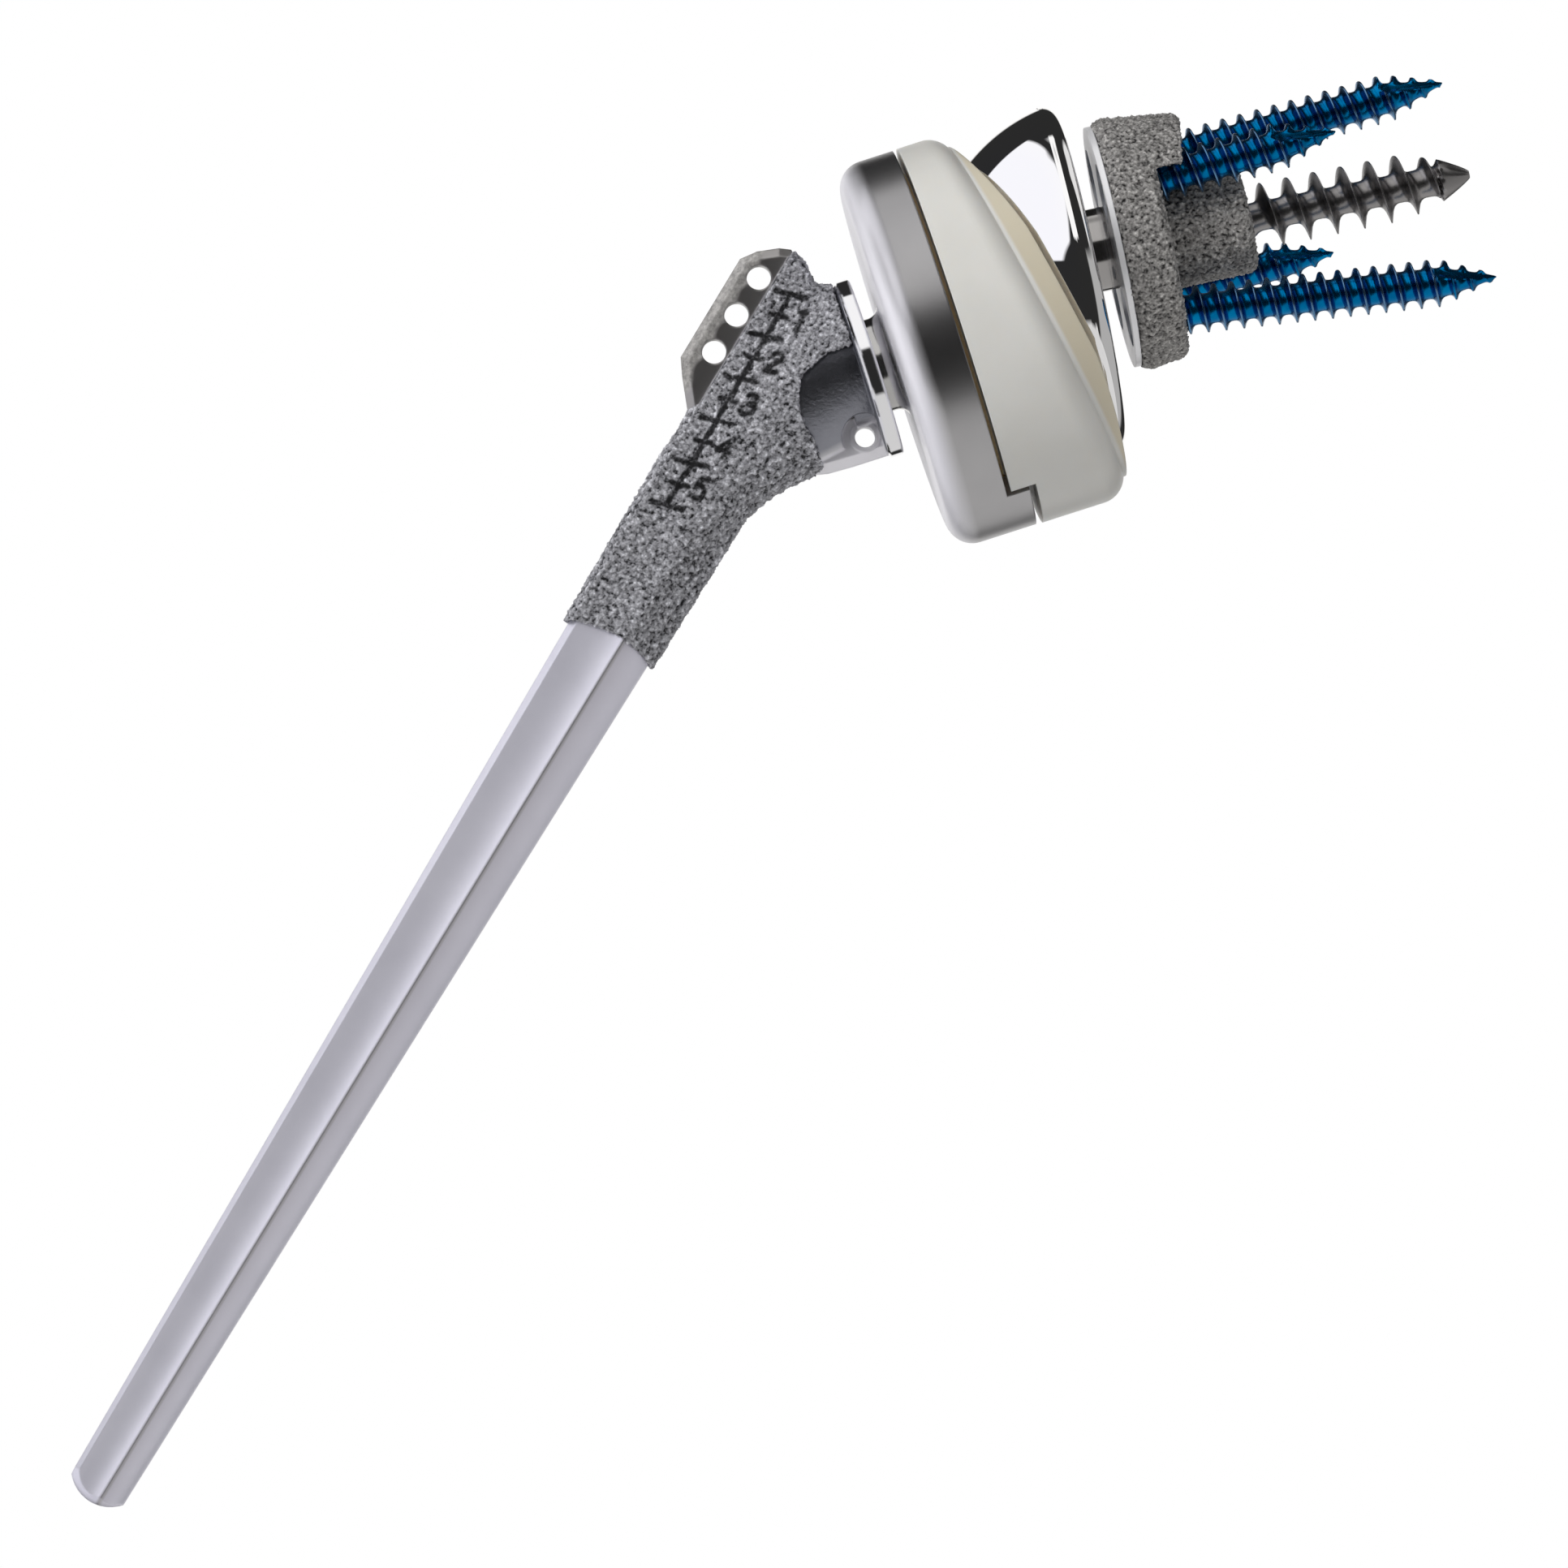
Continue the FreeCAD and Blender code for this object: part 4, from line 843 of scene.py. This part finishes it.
# The ruler lies on the near side: its line follows the stem's axis, and its ticks and the feet of
# its digits slope against it
RULER_FOOT = (-2.06, -12.9)
RULER_HEAD = (-2.34, 11.1)
TICK = (0.955, 0.295)
LONG_TICK = 1.6
SHORT_TICK = 0.85
INK_HALF_WIDTH = 0.29
WAVER_SIZE = 0.9
WAVER_REACH = 0.13
DIGIT_WIDTH = 1.35
DIGIT_HEIGHT = 2.1
DIGIT_GAP = 1.5
DIGITS = {
    1: [[(0.20, 0.86), (0.60, 1.00), (0.60, 0.00)]],
    2: [[(0.05, 0.76), (0.20, 0.95), (0.55, 1.00), (0.85, 0.84), (0.80, 0.60), (0.42, 0.32), (0.05, 0.0),
         (0.98, 0.0)]],
    3: [[(0.05, 0.90), (0.40, 1.00), (0.80, 0.90), (0.84, 0.70), (0.60, 0.54), (0.32, 0.52)],
        [(0.60, 0.54), (0.95, 0.38), (0.90, 0.12), (0.50, 0.00), (0.05, 0.10)]],
    4: [[(0.72, 0.00), (0.72, 1.00), (0.02, 0.30), (1.00, 0.30)]],
    5: [[(0.92, 1.00), (0.24, 1.00), (0.14, 0.58), (0.52, 0.64), (0.90, 0.46), (0.86, 0.12), (0.45, 0.00),
         (0.05, 0.10)]],
}


def ruler_strokes():
    """The strokes of the line, its eleven ticks and its five digits, as X and Z in mm."""
    start, end = Vector(RULER_HEAD), Vector(RULER_FOOT)
    tick, rise = Vector(TICK), (start - end).normalized()
    strokes = [[start, end]]
    for index in range(11):
        middle = start.lerp(end, index / 10)
        half = tick * (LONG_TICK if index % 2 == 0 else SHORT_TICK)
        strokes.append([middle - half, middle + half])
    for digit, shape in DIGITS.items():
        corner = start.lerp(end, (digit * 2 - 1) / 10) + tick * DIGIT_GAP - rise * DIGIT_HEIGHT / 2
        for stroke in shape:
            strokes.append([corner + tick * (x * DIGIT_WIDTH) + rise * (y * DIGIT_HEIGHT)
                            for x, y in stroke])
    return strokes


waver = np.array([(noise.noise(Vector(spot) / WAVER_SIZE),
                   noise.noise(Vector(spot) / WAVER_SIZE + Vector((7, 0, 0)))) for spot in spots])
ink = stroke_mask(spots[:, [0, 2]] + waver * WAVER_REACH, ruler_strokes(), INK_HALF_WIDTH)
ink *= facing[:, 1] < 0.1
stem_coat.attributes.new("ink", "FLOAT", "POINT").data.foreach_set("value", ink.astype(np.float32))
piece("stem_coat_grains", stem_coat, "humeral", "stem_coating", "stem_coating", sharp=None)

plate_coat, _, _ = grain_mesh("baseplate_coating", VOXEL, PLATE_GRAINS, SINK)
piece("plate_coat_grains", plate_coat, "glenoid", "baseplate_coating", "baseplate_coating", sharp=None)

# The polished head, in mm from its centre along its axis: its back with the rounded corner, and the
# socket for the adaptor
HEAD_BACK = -1.6
HEAD_CORNER = 1.5
HEAD_CORNER_IN = 1.75
SOCKET_RADIUS = 7.25
SOCKET_CHAMFER = 0.15
SOCKET_FLOOR = -9.9
head_profile = [(0.0, -HEAD_RADIUS)] + arc((0, 0), HEAD_RADIUS, -90, -9.5, 90)[1:]
head_profile += arc((HEAD_RADIUS - HEAD_CORNER_IN, HEAD_BACK - HEAD_CORNER), HEAD_CORNER, -10, 90, 14)
head_profile += [(SOCKET_RADIUS + SOCKET_CHAMFER, HEAD_BACK), (SOCKET_RADIUS, HEAD_BACK - SOCKET_CHAMFER),
                 (SOCKET_RADIUS, SOCKET_FLOOR), (0.0, SOCKET_FLOOR)]
piece("glenosphere_mirror", lathe("glenosphere_mirror", head_profile, HEAD), "head", "glenosphere",
      "glenosphere", sharp=35)

# The threads' ridges, as (share of the pitch, share of the height), and the screws' heads
SHARP_RIDGE = [(0.0, 0.0), (0.10, 0.02), (0.20, 0.10), (0.29, 0.30), (0.36, 0.62), (0.42, 0.97),
               (0.45, 1.0), (0.49, 1.0), (0.52, 0.97), (0.58, 0.55), (0.66, 0.22),
               (0.76, 0.06), (0.88, 0.01)]
DEEP_RIDGE = [(0.0, 0.0), (0.12, 0.0), (0.24, 0.03), (0.34, 0.14), (0.42, 0.38), (0.48, 0.74),
              (0.52, 1.0), (0.56, 1.0), (0.60, 0.74), (0.66, 0.38), (0.74, 0.14),
              (0.84, 0.03), (0.92, 0.0)]
LOCKING_HEAD = [("round", 0.0, 2.2), ("hex", 1.5, 2.2), ("hex", 1.5, 0.6), ("round", 2.6, 0.6),
                ("round", 2.9, 0.9), ("round", 2.9, 3.4), ("round", 1.5, 3.4)]
CENTRAL_HEAD = [("round", 0.0, 7.0), ("hex", 1.8, 7.0), ("hex", 1.8, 5.4), ("round", 3.4, 5.4),
                ("round", 3.7, 5.7), ("round", 3.7, 8.0), ("round", 3.0, 8.0), ("round", 3.0, 13.0),
                ("round", 1.45, 13.9)]
LOCKING_THREAD = {"start": 3.5, "pitch": 1.75, "core": 1.5, "crest": 2.375, "taper": 5.6,
                  "ridge": SHARP_RIDGE, "flute": 6.5, "flutes": 2, "cut": 0.22, "phase": 0.0,
                  "arrow": None}
CENTRAL_THREAD = {"start": 14.0, "tip": 36.2, "pitch": 2.72, "core": 1.45, "crest": 3.25, "taper": 4.6,
                  "ridge": DEEP_RIDGE, "flute": 3.2, "flutes": 2, "cut": 0.10, "phase": 1.47,
                  "arrow": (2.3, 3.3)}
HOLE_CIRCLE = 8.4
CENTRAL_SEAT = 8.0
CENTRAL_LEAN = 0.9
SCREW_SHARP = 40

# Each blue screw's quarter of the plate, across and off the picture, its turn round the hole circle,
# its lean and where its tip lies
PLATE_SCREWS = {
    "screw_superior": (-1, 1, 30.0, -3.1, 36.0),
    "screw_anterior": (-1, -1, 54.5, -2.7, 23.6),
    "screw_inferior": (1, -1, 30.0, 6.0, 36.4),
    "screw_posterior": (1, 1, 54.5, -0.3, 22.1),
}
for name, (hand, side, turn, lean, tip) in PLATE_SCREWS.items():
    across = HOLE_CIRCLE * math.cos(math.radians(turn)) * hand
    offset = HOLE_CIRCLE * math.sin(math.radians(turn)) * side
    place = PLATE @ Matrix.Translation((across * MM, offset * MM, 0)) @ turned(lean)
    mesh = screw_mesh(name, place, LOCKING_HEAD, {**LOCKING_THREAD, "tip": tip})
    piece(name + "_threaded", mesh, "glenoid", "locking_screw", name, sharp=SCREW_SHARP)

# The central screw leans about its seat
central_place = PLATE @ turned(0, z=CENTRAL_SEAT) @ turned(CENTRAL_LEAN) @ turned(0, z=-CENTRAL_SEAT)
piece("central_screw_threaded",
      screw_mesh("central_screw_threaded", central_place, CENTRAL_HEAD, CENTRAL_THREAD, steps=96),
      "glenoid", "central_screw", "central_screw", sharp=SCREW_SHARP)
